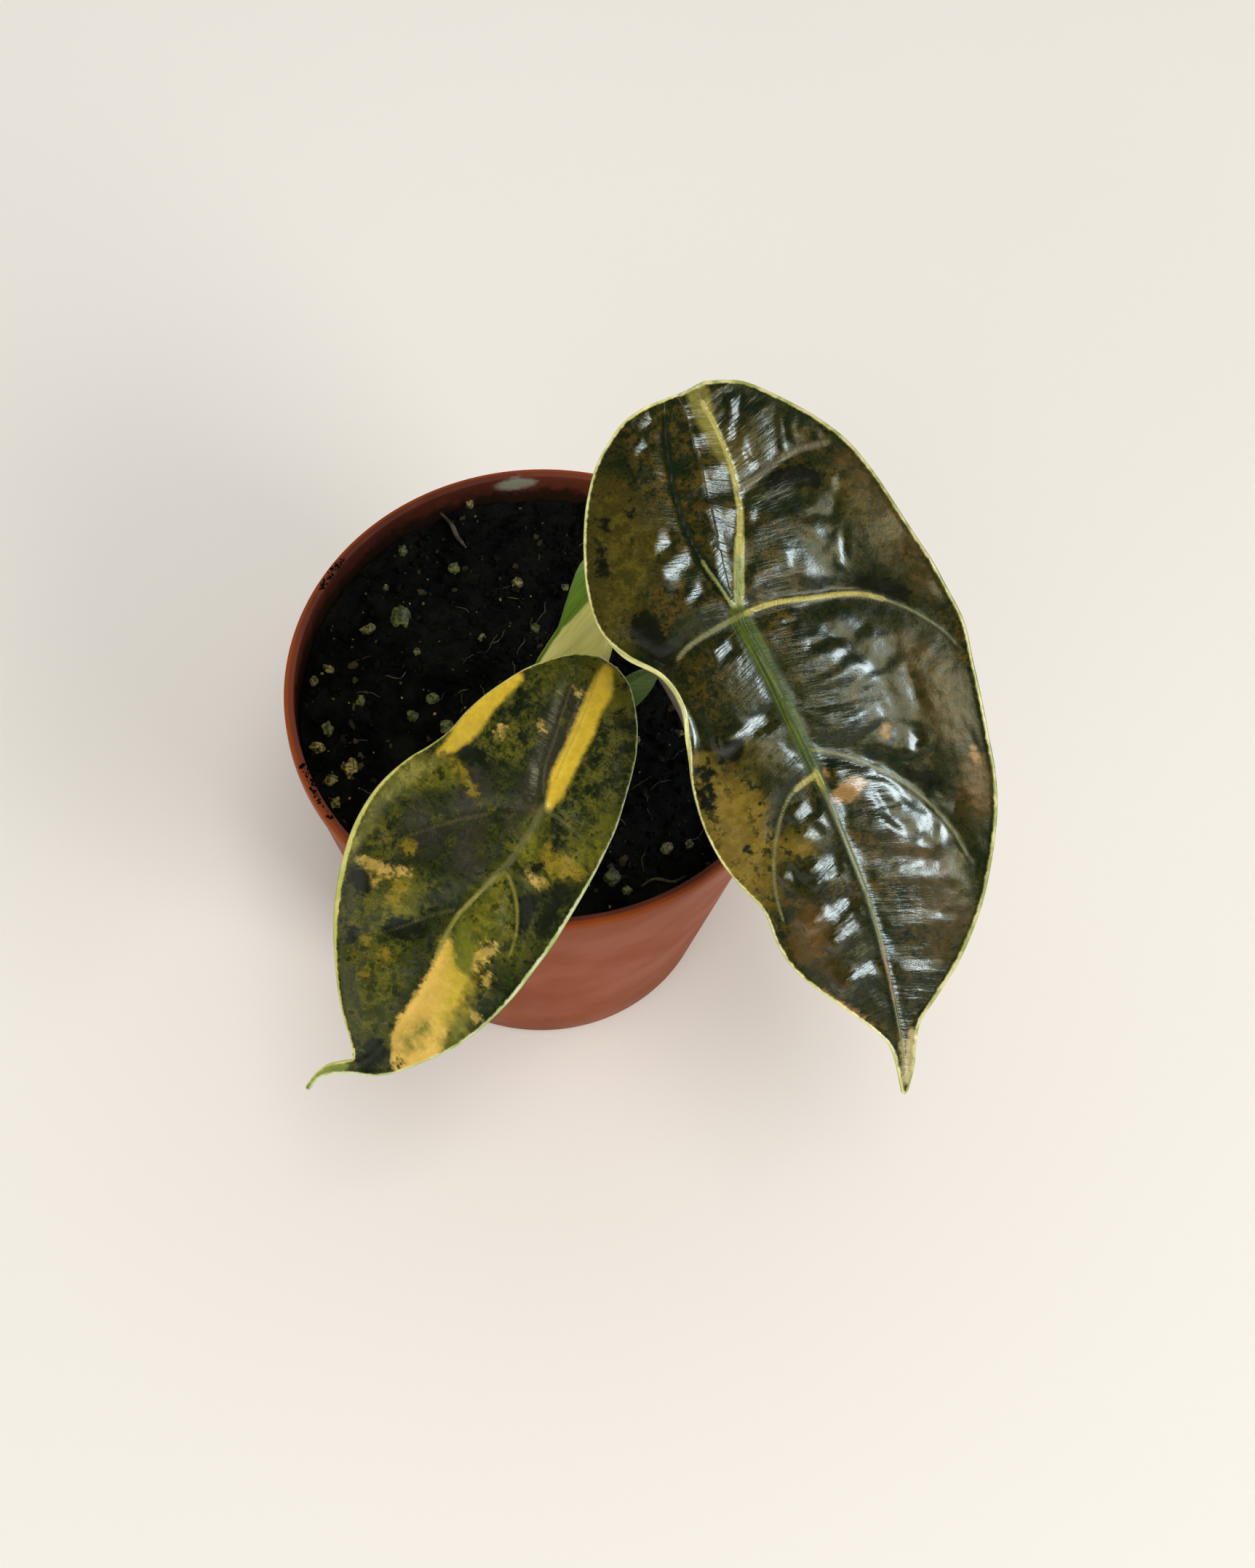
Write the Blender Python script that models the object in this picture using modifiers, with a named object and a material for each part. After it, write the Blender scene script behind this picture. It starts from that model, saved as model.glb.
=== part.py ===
"""Potted alocasia: a thin plastic nursery pot of peat that holds a young plant with two leaves.

World frame: metres, +Z up, +X to the right, and the front is -Y. The origin is the centre of the
pot's underside. Sizes below are millimetres and degrees, and MM turns them into metres.
"""
import math
import random

import bmesh
import bpy
import numpy as np
from mathutils import Vector, noise

MM = 0.001
GAP = 0.3
SEED = 11

# Pot
POT_HEIGHT = 79.0
RIM_RADIUS = 45.0
RIM_WIDTH = 1.8
RIM_STEP = 0.4
RIM_CHAMFER = 0.6
BEAD_HEIGHT = 2.6
FOOT_RADIUS = 32.5
FOOT_CHAMFER = 0.9
FOOT_RISE = 1.2
WALL = 1.0
FLOOR = 1.1
FOOT_LIFT = 1.5
FOOT_WIDTH = 5.0
PAD_RADIUS = 9.0
DRAIN_RADIUS = 2.6
DRAIN_CIRCLE = 17.0
DRAIN_COUNT = 6
DRAIN_TURN = 0.55
DRAIN_SIDES = 12
DRILL_LENGTH = 8.0
POT_SEGMENTS = 60
MERGE_DISTANCE = 0.00001

# Soil
SOIL_DROP = 6.5
LUMP_SIZE = 9.0
LUMP_HEIGHT = 1.3
CRUMB_SIZE = 3.7
CRUMB_HEIGHT = 0.7
SOIL_SEGMENTS = 40
SOIL_SIDE_DROP = 4.0
SOIL_RINGS = (0.12, 0.26, 0.42, 0.58, 0.73, 0.87, 1.0)
GRANULE_COUNT = 46
GRANULE_RADII = (1.1, 1.9)
GRANULE_SINK = 0.35
GRANULE_SPACE = 0.8
GRANULE_TO_WALL = 3.2
GRANULE_TO_CROWN = 3.0

# Crown of the plant
CORM_CENTRE = (3.0, -2.0)
CORM_RADIUS = 9.0
CORM_DEPTH = 14.0
CORM_RISE = 1.8
CORM_SIDES = 24
# share of the radius and height over the soil, from the bottom up
CORM_STAGES = ((0.62, -CORM_DEPTH), (0.94, 3.0 - CORM_DEPTH), (1.0, -6.0), (1.0, -0.5),
               (0.93, CORM_RISE - 0.9), (0.82, CORM_RISE))

# Blades
BLADE_EDGE = 0.65
BLADE_BODY = 0.85
SEAT_RADIUS = 2.4
SEAT_THICKNESS = 2.6
BODY_REACH = 3.0
VEIN_FADE = 0.75
RIB_FADE = 0.85
FOLD_BEND = 1.2
ROUTE_LEGS = 4
MARGIN_STEPS = (0.0, 0.09, 0.19, 0.3, 0.42, 0.54, 0.65, 0.75, 0.84, 0.92, 1.0)

# Each blade lies in a frame of its own: u to the right, v towards the tip, from the point where the
# stalk meets it. A row holds the left margin, the midline and the right margin, from sinus to tip.
LARGE = {
    "joint": (29.7, -17.8, 138.4),
    "heading": 27.0, "pitch": 25.0, "bank": -6.0,
    "front": 75.0, "back": 36.0, "half": 25.0,
    "arch_front": 9.0, "arch_back": 3.0, "droop": 3.5, "fall": 0.12,
    "rows": (
        ((-2.6, -34.3), (2.6, -34.6), (7.2, -35.2)), ((-6.4, -33.2), (3.2, -32.6), (12.4, -33.6)),
        ((-9.4, -31.2), (2.9, -29.5), (16.6, -30.2)),
        ((-13.0, -27.8), (2.3, -24.0), (21.4, -25.2)), ((-16.3, -22.5), (1.7, -18.5), (24.9, -20.2)),
        ((-18.7, -16.5), (1.1, -13.0), (27.2, -14.4)), ((-20.2, -10.5), (0.5, -7.0), (28.9, -8.0)),
        ((-20.3, -4.8), (0.0, -1.5), (30.6, -1.5)), ((-18.0, 0.0), (0.7, 4.0), (32.0, 5.0)),
        ((-13.8, 4.7), (1.6, 9.5), (33.0, 11.5)), ((-12.3, 10.0), (2.3, 15.0), (32.4, 17.5)),
        ((-13.4, 15.5), (2.9, 20.5), (31.8, 23.3)), ((-14.8, 21.5), (3.5, 26.0), (31.0, 29.5)),
        ((-15.1, 28.0), (4.0, 31.5), (30.2, 35.2)), ((-14.2, 34.0), (4.4, 37.0), (28.5, 41.0)),
        ((-12.4, 38.8), (4.8, 42.5), (25.7, 47.0)), ((-10.5, 43.0), (5.0, 48.0), (21.8, 53.5)),
        ((-10.0, 49.0), (4.9, 54.0), (16.5, 59.7)), ((-8.3, 54.0), (4.5, 59.5), (11.2, 64.0)),
        ((-4.2, 60.0), (4.0, 64.5), (7.3, 67.0)), ((0.0, 66.0), (3.5, 68.5), (5.4, 70.3)),
        ((1.6, 70.0), (2.9, 72.0), (4.4, 73.0)), ((1.2, 76.6), (1.7, 77.0), (2.2, 76.6)),
    ),
    # vein: furrow depth, furrow half-width, rib height below the blade, route from the joint
    "veins": (
        (0.3, 2.6, 2.2, ((0, 0), (1.7, 10), (3, 22), (4.2, 34), (5, 47.5), (4.5, 58.4), (3.5, 68), (2, 75))),
        (0.4, 2.0, 1.5, ((0, 0), (3.2, -8.9), (5.4, -14.5), (6.5, -20.5), (6.4, -27.0), (5.7, -33))),
        (0.4, 2.0, 1.5, ((0, 0), (-2.7, -10.4), (-3.2, -18.1), (-1.9, -26.9), (-0.4, -32))),
        (0.8, 2.6, 1.1, ((0, 0), (5.2, -0.3), (10.9, 0.7), (18.7, 2.4), (24.7, 6.4), (29.2, 11.5),
                         (31, 15.5))),
        (0.7, 2.4, 1.0, ((3.2, 22), (8.4, 24.7), (13.6, 29), (17.7, 33.8), (20.9, 40.2), (22.4, 47.1))),
        (0.6, 2.4, 0.8, ((0, 0), (-5, 0.9), (-8.7, 1.9), (-11.6, 3.7))),
        (0.7, 2.2, 0.9, ((3.3, 26), (-1.5, 27.8), (-4.8, 31.9), (-6.9, 36.3), (-8.1, 42.2), (-8, 48))),
        (0.6, 2.2, 0.8, ((6.2, -17.5), (12.4, -19.9), (17, -21), (23.6, -20.5))),
    ),
    "pillow": 0.4, "pillow_reach": 6.5, "pillow_edge": 8.0,
    # fold: vein, side of it, reach, slope by the share of the way along the vein
    "folds": (
        (0, 1.0, 8.5, ((0, 0), (0.05, 0.12), (0.8, 0.12), (1, 0))),
        (2, -1.0, 8.0, ((0, 0), (0.1, 0.12), (0.9, 0.12), (1, 0.03))),
    ),
    # pucker: crest height, spacing, reach from its vein, first and last part of the vein, phase
    "puckers": ((0, 0.175, 8.0, 13.0, 0.16, 0.88, 0.4), (2, 0.14, 7.5, 11.0, 0.1, 0.95, 1.2)),
    "edge_wave": 0.7, "edge_period": 17.0, "wave_reach": 11.0,
    "curl": (7.1, 9.7, 12.2), "curl_angle": 145.0, "curl_width": 4.5,
    "steps": ((0, 6, 11), (6, 9, 8), (9, 17, 24), (17, 21, 9)),
}
SMALL = {
    "joint": (2.8, -37.7, 109.2),
    "heading": -33.0, "pitch": 26.0, "bank": 9.0,
    "front": 50.0, "back": 26.0, "half": 18.0,
    "arch_front": 6.0, "arch_back": 2.0, "droop": 2.5, "fall": 0.07,
    "rows": (
        ((-9.5, -22.4), (-6.3, -24.2), (-3.0, -24.2)), ((-12.2, -19.5), (-5.3, -20.0), (0.3, -23.0)),
        ((-14.7, -16.0), (-4.4, -16.0), (4.0, -19.6)), ((-16.4, -12.4), (-3.4, -12.0), (6.6, -16.0)),
        ((-17.8, -8.8), (-2.3, -8.0), (8.3, -12.5)), ((-18.8, -5.0), (-1.1, -4.0), (9.9, -8.0)),
        ((-19.4, -1.0), (0.0, 0.0), (11.3, -3.5)), ((-20.7, 2.6), (0.5, 4.0), (12.2, 1.5)),
        ((-22.4, 6.0), (0.6, 8.0), (12.8, 6.5)), ((-23.8, 10.5), (0.2, 12.0), (13.2, 12.0)),
        ((-24.3, 15.0), (-0.4, 16.0), (13.4, 17.0)), ((-23.8, 20.0), (-1.4, 20.5), (13.2, 22.5)),
        ((-22.4, 25.0), (-1.3, 25.0), (12.8, 28.1)), ((-20.3, 30.0), (-0.8, 29.5), (11.5, 34.3)),
        ((-17.6, 34.8), (-0.2, 34.0), (9.4, 40.0)), ((-14.4, 39.0), (0.1, 38.5), (6.5, 45.0)),
        ((-11.0, 43.0), (0.0, 43.0), (3.7, 49.0)), ((-7.5, 46.3), (-0.6, 47.0), (0.8, 51.5)),
        ((-4.6, 48.6), (-1.5, 49.8), (-0.9, 52.4)), ((-2.9, 50.6), (-2.5, 51.9), (-2.3, 53.2)),
        ((-4.4, 52.4), (-4.1, 53.5), (-3.6, 54.2)), ((-5.9, 54.2), (-5.5, 55.0), (-4.9, 55.4)),
        ((-6.7, 56.6), (-6.3, 56.8), (-5.9, 57.0)), ((-6.9, 59.4), (-6.5, 59.6), (-6.1, 59.4)),
    ),
    "veins": (
        (0.8, 2.6, 1.7, ((0, 0), (0.6, 5.6), (0.4, 10.7), (-0.7, 17), (-1.5, 22.1), (-1.1, 26.8), (-0.3, 32),
                         (0.1, 38), (-0.1, 44), (-1.0, 49.2), (-2.5, 51.8))),
        (0.8, 1.8, 1.0, ((0, 0), (-3.2, -5), (-4.4, -9.2), (-5.8, -13.6), (-7.2, -18))),
        (0.8, 2.2, 1.2, ((0, 0), (-1.6, -8.3), (-3.2, -16.1), (-5.3, -22.8))),
        (0.7, 2.0, 0.8, ((-0.2, 2.5), (-4.5, 4.5), (-9.1, 8.6), (-13.8, 14.4), (-17.5, 19.9))),
        (0.7, 2.0, 0.8, ((-1.2, 20.1), (-4.6, 23.8), (-7.5, 27.9), (-10.9, 32.5), (-12.3, 35.6))),
        (0.6, 2.0, 0.7, ((0.4, 11.2), (4.4, 14.2), (7.4, 18.4), (8.9, 23))),
        (0.5, 1.8, 0.6, ((0, 0), (5.7, 0.4), (8.8, 1), (11, 3))),
    ),
    "pillow": 1.1, "pillow_reach": 5.0, "pillow_edge": 6.0,
    "folds": (),
    "puckers": ((0, 0.07, 8.0, 9.0, 0.12, 0.85, 0.9),),
    "edge_wave": 0.5, "edge_period": 15.0, "wave_reach": 9.0,
    "curl": None, "curl_angle": 0.0, "curl_width": 3.0,
    "steps": ((0, 6, 8), (6, 17, 17), (17, 23, 8)),
}

# Stalks: centre, half-width, half-depth, depth of the front channel, from the crown upwards.
PETIOLE_LARGE = (
    ((2.0, 1.8, 74.8), 5.4, 3.7, 0.25), ((3.2, 1.6, 81.0), 5.8, 3.7, 0.35),
    ((4.8, 1.4, 88.0), 5.6, 3.5, 0.40), ((6.2, 1.2, 96.0), 4.9, 3.2, 0.40),
    ((6.8, 1.1, 105.0), 4.2, 2.9, 0.34), ((7.2, 1.0, 112.0), 3.6, 2.7, 0.26),
    ((7.8, 0.6, 117.5), 3.2, 2.5, 0.18), ((9.6, -0.8, 122.4), 2.8, 2.4, 0.1),
    ((13.4, -4.0, 126.8), 2.5, 2.3, 0.04), ((18.4, -8.2, 130.2), 2.3, 2.2, 0.0),
    ((23.8, -12.6, 132.6), 2.2, 2.1, 0.0), ((29.3, -16.5, 135.6), 2.5, 2.3, 0.0),
)
PETIOLE_SMALL = (
    ((3.6, -6.8, 74.8), 2.7, 2.4, 0.1), ((4.2, -9.0, 81.0), 2.5, 2.3, 0.15),
    ((4.9, -13.2, 89.0), 2.2, 2.1, 0.15), ((5.1, -19.2, 96.0), 2.0, 1.9, 0.1),
    ((4.5, -26.5, 100.8), 1.8, 1.8, 0.05), ((3.6, -33.0, 103.2), 1.7, 1.7, 0.0),
    ((3.1, -36.4, 106.3), 2.0, 2.0, 0.0),
)
NEW_SHOOT = (
    ((9.9, -2.8, 74.8), 1.9, 1.8, 0.0), ((11.6, -3.0, 79.0), 2.5, 2.3, 0.0),
    ((13.6, -3.2, 84.0), 2.7, 2.5, 0.0), ((15.8, -3.4, 89.0), 2.3, 2.2, 0.0),
    ((17.4, -3.5, 92.4), 1.5, 1.4, 0.0), ((18.6, -3.6, 94.8), 0.5, 0.5, 0.0),
)
STALK_SIDES = 14
SHOOT_SIDES = 10
STALK_STEPS = 3


def clear_scene():
    """Removes what a new file starts with."""
    for item in list(bpy.data.objects):
        bpy.data.objects.remove(item, do_unlink=True)


def new_collection(name):
    """Makes a collection in the scene."""
    group = bpy.data.collections.new(name)
    bpy.context.scene.collection.children.link(group)
    return group


def finish_material(name, colour, roughness):
    """Makes a plain material of one colour."""
    material = bpy.data.materials.new(name)
    material.use_nodes = True
    shader = material.node_tree.nodes["Principled BSDF"]
    shader.inputs["Base Color"].default_value = (*colour, 1.0)
    shader.inputs["Roughness"].default_value = roughness
    shader.inputs["Metallic"].default_value = 0.0
    return material


def mesh_object(name, points, faces, group):
    """Makes an object from points in millimetres."""
    mesh = bpy.data.meshes.new(name)
    mesh.from_pydata([tuple(c * MM for c in point) for point in points], [], faces)
    mesh.validate()
    item = bpy.data.objects.new(name, mesh)
    group.objects.link(item)
    return item


def bake_modifiers(item):
    """Replaces an object's mesh with its evaluated one."""
    graph = bpy.context.evaluated_depsgraph_get()
    mesh = bpy.data.meshes.new_from_object(item.evaluated_get(graph))
    item.modifiers.clear()
    item.data = mesh


def curve_through(knots, station):
    """Reads a smooth curve through evenly numbered knots at a station, by Catmull and Rom's rule."""
    last = len(knots) - 1
    index = min(int(station), last - 1)
    t = station - index
    before = knots[max(index - 1, 0)]
    start = knots[index]
    end = knots[index + 1]
    after = knots[min(index + 2, last)]
    value = 2 * start + (end - before) * t
    value = value + (2 * before - 5 * start + 4 * end - after) * t ** 2
    value = value + (3 * start - before - 3 * end + after) * t ** 3
    return value / 2


def wall_radius(height):
    """Outer radius of the pot's straight wall at a height."""
    top = RIM_RADIUS - RIM_STEP
    return FOOT_RADIUS + (top - FOOT_RADIUS) * height / (POT_HEIGHT - BEAD_HEIGHT)


def soil_level(x, y):
    """Height of the soil's surface, with the lumps of loose peat."""
    lump = noise.noise(Vector((x / LUMP_SIZE, y / LUMP_SIZE, 0.3)))
    crumb = noise.noise(Vector((x / CRUMB_SIZE, y / CRUMB_SIZE, 5.1)))
    return POT_HEIGHT - SOIL_DROP + LUMP_HEIGHT * lump + CRUMB_HEIGHT * crumb


def build_pot(group, cutters):
    """Turns the pot from its profile and cuts the drain holes."""
    inner_floor = FOOT_LIFT + FLOOR
    bead_base = POT_HEIGHT - BEAD_HEIGHT
    foot_inner = FOOT_RADIUS - FOOT_WIDTH
    profile = (
        (0.0, inner_floor),
        (wall_radius(inner_floor) - WALL - 0.9, inner_floor),
        (wall_radius(inner_floor + 1) - WALL, inner_floor + 1.0),
        (wall_radius(bead_base) - WALL, bead_base),
        (RIM_RADIUS - RIM_WIDTH, POT_HEIGHT - RIM_CHAMFER),
        (RIM_RADIUS - RIM_WIDTH + 0.5, POT_HEIGHT),
        (RIM_RADIUS - 0.5, POT_HEIGHT),
        (RIM_RADIUS, POT_HEIGHT - RIM_CHAMFER),
        (RIM_RADIUS, bead_base + 0.3),
        (wall_radius(bead_base), bead_base - 0.2),
        (wall_radius(FOOT_RISE), FOOT_RISE),
        (FOOT_RADIUS - FOOT_CHAMFER, 0.0),
        (foot_inner, 0.0),
        (foot_inner - 1.0, FOOT_LIFT),
        (PAD_RADIUS + 1.0, FOOT_LIFT),
        (PAD_RADIUS, 0.0),
        (0.0, 0.0),
    )
    mesh = bpy.data.meshes.new("nursery_pot")
    edges = [(k, k + 1) for k in range(len(profile) - 1)]
    mesh.from_pydata([(r * MM, 0.0, z * MM) for r, z in profile], edges, [])
    pot = bpy.data.objects.new("nursery_pot", mesh)
    group.objects.link(pot)
    turn = pot.modifiers.new("turn", "SCREW")
    turn.steps = POT_SEGMENTS
    turn.render_steps = POT_SEGMENTS
    turn.use_merge_vertices = True
    turn.merge_threshold = MERGE_DISTANCE
    for index in range(DRAIN_COUNT):
        angle = math.tau * index / DRAIN_COUNT + DRAIN_TURN
        bpy.ops.mesh.primitive_cylinder_add(
            vertices=DRAIN_SIDES, radius=DRAIN_RADIUS * MM, depth=DRILL_LENGTH * MM,
            rotation=(0.0, 0.0, angle),
            location=(DRAIN_CIRCLE * math.cos(angle) * MM, DRAIN_CIRCLE * math.sin(angle) * MM,
                      0.5 * inner_floor * MM))
        drill = bpy.context.object
        drill.name = f"drain_cutter_{index}"
        move_to(drill, cutters)
        drill.hide_render = True
        drill.display_type = "WIRE"
        cut = pot.modifiers.new(drill.name, "BOOLEAN")
        cut.operation = "DIFFERENCE"
        cut.object = drill
    pot.data.materials.append(finish_material("pot_plastic", (0.35, 0.12, 0.075), 0.5))
    return pot


def move_to(item, group):
    """Moves an object into a collection of its own."""
    for holder in list(item.users_collection):
        holder.objects.unlink(item)
    group.objects.link(item)


def ring_stack(rings, close_first, close_last):
    """Joins rings of equal count into faces, with a centre point where an end is closed."""
    points = [point for ring in rings for point in ring]
    count = len(rings[0])
    faces = []
    for row in range(len(rings) - 1):
        low = row * count
        for k in range(count):
            n = (k + 1) % count
            faces.append((low + k, low + n, low + count + n, low + count + k))
    for ring, closed, flip in ((0, close_first, True), (len(rings) - 1, close_last, False)):
        if not closed:
            continue
        start = ring * count
        centre = len(points)
        points.append(tuple(np.mean(np.array(rings[ring]), axis=0)))
        for k in range(count):
            pair = (start + k, start + (k + 1) % count)
            faces.append((pair[1], pair[0], centre) if flip else (pair[0], pair[1], centre))
    return points, faces


def circle(radius, height, sides, centre=(0.0, 0.0)):
    """Points of a level ring, anticlockwise from above."""
    steps = [math.tau * k / sides for k in range(sides)]
    return [(centre[0] + radius * math.cos(a), centre[1] + radius * math.sin(a), height) for a in steps]


def build_soil(group):
    """Models the peat as one plug, with a hole for the crown and granules grown out of its top."""
    top = POT_HEIGHT - SOIL_DROP
    floor = FOOT_LIFT + FLOOR + GAP
    hole = CORM_RADIUS + GAP
    side_heights = (top - SOIL_SIDE_DROP, top / 2, floor + 1.0)
    rings = [circle(hole, top - CORM_DEPTH - GAP, SOIL_SEGMENTS, CORM_CENTRE)]
    edge_radius = wall_radius(top) - WALL - GAP
    mouth = circle(hole, top, SOIL_SEGMENTS, CORM_CENTRE)
    brim = circle(edge_radius, top, SOIL_SEGMENTS)
    for share in (0.0,) + SOIL_RINGS:
        ring = []
        for inner, outer in zip(mouth, brim):
            x = inner[0] + (outer[0] - inner[0]) * share
            y = inner[1] + (outer[1] - inner[1]) * share
            ring.append((x, y, soil_level(x, y)))
        rings.append(ring)
    for height in side_heights:
        rings.append(circle(wall_radius(height) - WALL - GAP, height, SOIL_SEGMENTS))
    rings.append(circle(wall_radius(floor) - WALL - GAP - 1.0, floor, SOIL_SEGMENTS))
    points, faces = ring_stack(rings, True, True)
    faces = [tuple(reversed(face)) for face in faces]
    soil = mesh_object("soil", points, faces, group)
    granules = new_collection("granules")
    draw = random.Random(SEED)
    placed = []
    while len(placed) < GRANULE_COUNT:
        radius = draw.uniform(*GRANULE_RADII)
        angle = draw.uniform(0.0, math.tau)
        reach = (edge_radius - GRANULE_TO_WALL) * math.sqrt(draw.random())
        x = reach * math.cos(angle)
        y = reach * math.sin(angle)
        clear = math.hypot(x - CORM_CENTRE[0], y - CORM_CENTRE[1]) > hole + GRANULE_TO_CROWN
        apart = all(math.hypot(x - a, y - b) > radius + c + GRANULE_SPACE for a, b, c in placed)
        if not (clear and apart):
            continue
        placed.append((x, y, radius))
        height = soil_level(x, y) + GRANULE_SINK * radius
        bpy.ops.mesh.primitive_ico_sphere_add(subdivisions=1, radius=radius * MM,
                                              location=(x * MM, y * MM, height * MM),
                                              rotation=[draw.uniform(0.0, 3.0) for _ in range(3)])
        move_to(bpy.context.object, granules)
    union = soil.modifiers.new("granules", "BOOLEAN")
    union.operation = "UNION"
    union.operand_type = "COLLECTION"
    union.collection = granules
    bake_modifiers(soil)
    for item in list(granules.objects):
        bpy.data.objects.remove(item, do_unlink=True)
    bpy.data.collections.remove(granules)
    soil.data.materials.clear()
    soil.data.materials.append(finish_material("peat", (0.012, 0.010, 0.008), 0.95))
    return soil


def build_corm(group):
    """Turns the short crown that stands in the soil's hole."""
    top = POT_HEIGHT - SOIL_DROP
    rings = [circle(CORM_RADIUS * share, top + rise, CORM_SIDES, CORM_CENTRE) for share, rise in CORM_STAGES]
    points, faces = ring_stack(rings, True, True)
    corm = mesh_object("corm", points, faces, group)
    corm.data.materials.append(finish_material("corm_skin", (0.10, 0.055, 0.03), 0.8))
    return corm


def stalk_rings(knots, sides, steps, end_normal):
    """Sections along a stalk: level at the crown, square to its path, flat against the blade on top."""
    centres = [np.array(knot[0], dtype=float) for knot in knots]
    sizes = [np.array(knot[1:], dtype=float) for knot in knots]
    last = len(knots) - 1
    stations = np.linspace(0.0, last, last * steps + 1)
    path = [curve_through(centres, s) for s in stations]
    shape = [curve_through(sizes, s) for s in stations]
    rings = []
    for index, (centre, (wide, deep, channel)) in enumerate(zip(path, shape)):
        ahead = path[min(index + 1, len(path) - 1)]
        behind = path[max(index - 1, 0)]
        along = (ahead - behind) / np.linalg.norm(ahead - behind)
        if index == 0:
            along = np.array((0.0, 0.0, 1.0))
        if index == len(path) - 1 and end_normal is not None:
            along = end_normal
        side = np.cross((0.0, 1.0, 0.0), along)
        side = side / np.linalg.norm(side)
        rear = np.cross(along, side)
        ring = []
        for k in range(sides):
            angle = math.tau * k / sides
            from_front = abs(math.remainder(angle + math.pi / 2, math.tau))
            dent = 1.0 - max(channel, 0.0) * math.exp(-(from_front / 0.6) ** 2)
            ring.append(centre + side * wide * math.cos(angle) + rear * deep * dent * math.sin(angle))
        rings.append(ring)
    return rings


def build_stalk(name, knots, sides, end_normal, colour, group):
    """Lofts a stalk through its sections."""
    points, faces = ring_stack(stalk_rings(knots, sides, STALK_STEPS, end_normal), True, True)
    stalk = mesh_object(name, points, faces, group)
    stalk.data.materials.append(finish_material(name + "_skin", colour, 0.45))
    return stalk


def blade_frame(blade):
    """Directions of a blade: right, towards the tip, and out of its upper face."""
    heading, pitch, bank = (math.radians(blade[key]) for key in ("heading", "pitch", "bank"))
    tip = np.array((math.sin(heading) * math.cos(pitch), -math.cos(heading) * math.cos(pitch),
                    -math.sin(pitch)))
    level = np.array((math.cos(heading), math.sin(heading), 0.0))
    above = np.cross(tip, level)
    right = level * math.cos(bank) - above * math.sin(bank)
    out = above * math.cos(bank) + level * math.sin(bank)
    return right, tip, out


def along_route(u, v, route):
    """Distance from each point to a smooth route, its share of the way along, its side and the length."""
    nearest = np.full(u.shape, np.inf)
    share = np.zeros(u.shape)
    side = np.zeros(u.shape)
    points = [np.array(point, dtype=float) for point in route]
    count = ROUTE_LEGS * (len(points) - 1)
    knots = np.array([curve_through(points, k / ROUTE_LEGS) for k in range(count + 1)])
    lengths = np.hypot(*np.diff(knots, axis=0).T)
    travelled = 0.0
    for start, end, length in zip(knots[:-1], knots[1:], lengths):
        du, dv = (end - start) / length
        along = np.clip((u - start[0]) * du + (v - start[1]) * dv, 0.0, length)
        across_u = u - start[0] - along * du
        across_v = v - start[1] - along * dv
        distance = np.hypot(across_u, across_v)
        closer = distance < nearest
        nearest = np.where(closer, distance, nearest)
        share = np.where(closer, (travelled + along) / lengths.sum(), share)
        side = np.where(closer, np.sign(du * across_v - dv * across_u), side)
        travelled += length
    return nearest, share, side, lengths.sum()


def soft_step(value, low, high):
    """Rises smoothly from 0 to 1 between two values."""
    t = np.clip((value - low) / (high - low), 0.0, 1.0)
    return t * t * (3.0 - 2.0 * t)


def blade_lift(blade, u, v, inset):
    """Height of the upper face above its plane: arch, furrows, pillows, folds, puckers and edge wave."""
    reach = np.where(v > 0.0, blade["front"], blade["back"])
    arch = np.where(v > 0.0, blade["arch_front"], blade["arch_back"])
    lift = -arch * (v / reach) ** 2
    middle = np.array([row[1] for row in blade["rows"]])
    offset = u - np.interp(v, middle[:, 1], middle[:, 0])
    width = np.abs(offset) + np.maximum(inset, 0.0) + 0.001
    fall = blade["fall"] * width * soft_step(np.abs(offset) / width, -0.15, 0.7)
    lift = lift - np.where(offset < 0.0, blade["droop"] * (offset / blade["half"]) ** 2, fall)
    furrow = np.zeros(u.shape)
    nearest = np.full(u.shape, np.inf)
    for depth, width, _, route in blade["veins"]:
        distance, share, _, _ = along_route(u, v, route)
        fade = 1.0 - VEIN_FADE * share
        furrow = np.maximum(furrow, depth * fade * np.exp(-(distance / (width * (0.6 + 0.4 * fade))) ** 2))
        nearest = np.minimum(nearest, distance / (0.5 + 0.5 * fade))
    inside = soft_step(inset, 0.0, blade["pillow_edge"])
    lift = lift - furrow * soft_step(inset, -0.5, 3.0)
    lift = lift + blade["pillow"] * inside * (1.0 - np.exp(-(nearest / blade["pillow_reach"]) ** 2))
    for vein, way, far, slopes in blade["folds"]:
        distance, share, side, _ = along_route(u, v, blade["veins"][vein][3])
        slope = np.interp(share, *np.array(slopes).T)
        run = distance - FOLD_BEND * np.log1p(np.exp((distance - far) / FOLD_BEND))
        lift = lift + np.where(side == way, slope * run, 0.0) * inside
    for vein, crest, spacing, spread, first, last, phase in blade["puckers"]:
        distance, share, side, length = along_route(u, v, blade["veins"][vein][3])
        place = soft_step(share, first, first + 0.12) * (1.0 - soft_step(share, last - 0.12, last))
        near = soft_step(distance, 0.8, 2.6) * (1.0 - soft_step(distance, 0.55 * spread, spread))
        turn = math.tau * (share * length - 0.35 * distance) / spacing + phase + 1.3 * side
        lift = lift + crest * place * near * soft_step(inset, 0.0, 5.0) * np.sin(turn)
    wave = np.sin(math.tau * v / blade["edge_period"] + 0.8 * np.sign(u))
    wave = wave * (1.0 - soft_step(inset, 0.0, 6.0)) * soft_step(blade["wave_reach"] - abs(v), 2.0, 14.0)
    return lift + blade["edge_wave"] * wave


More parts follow.
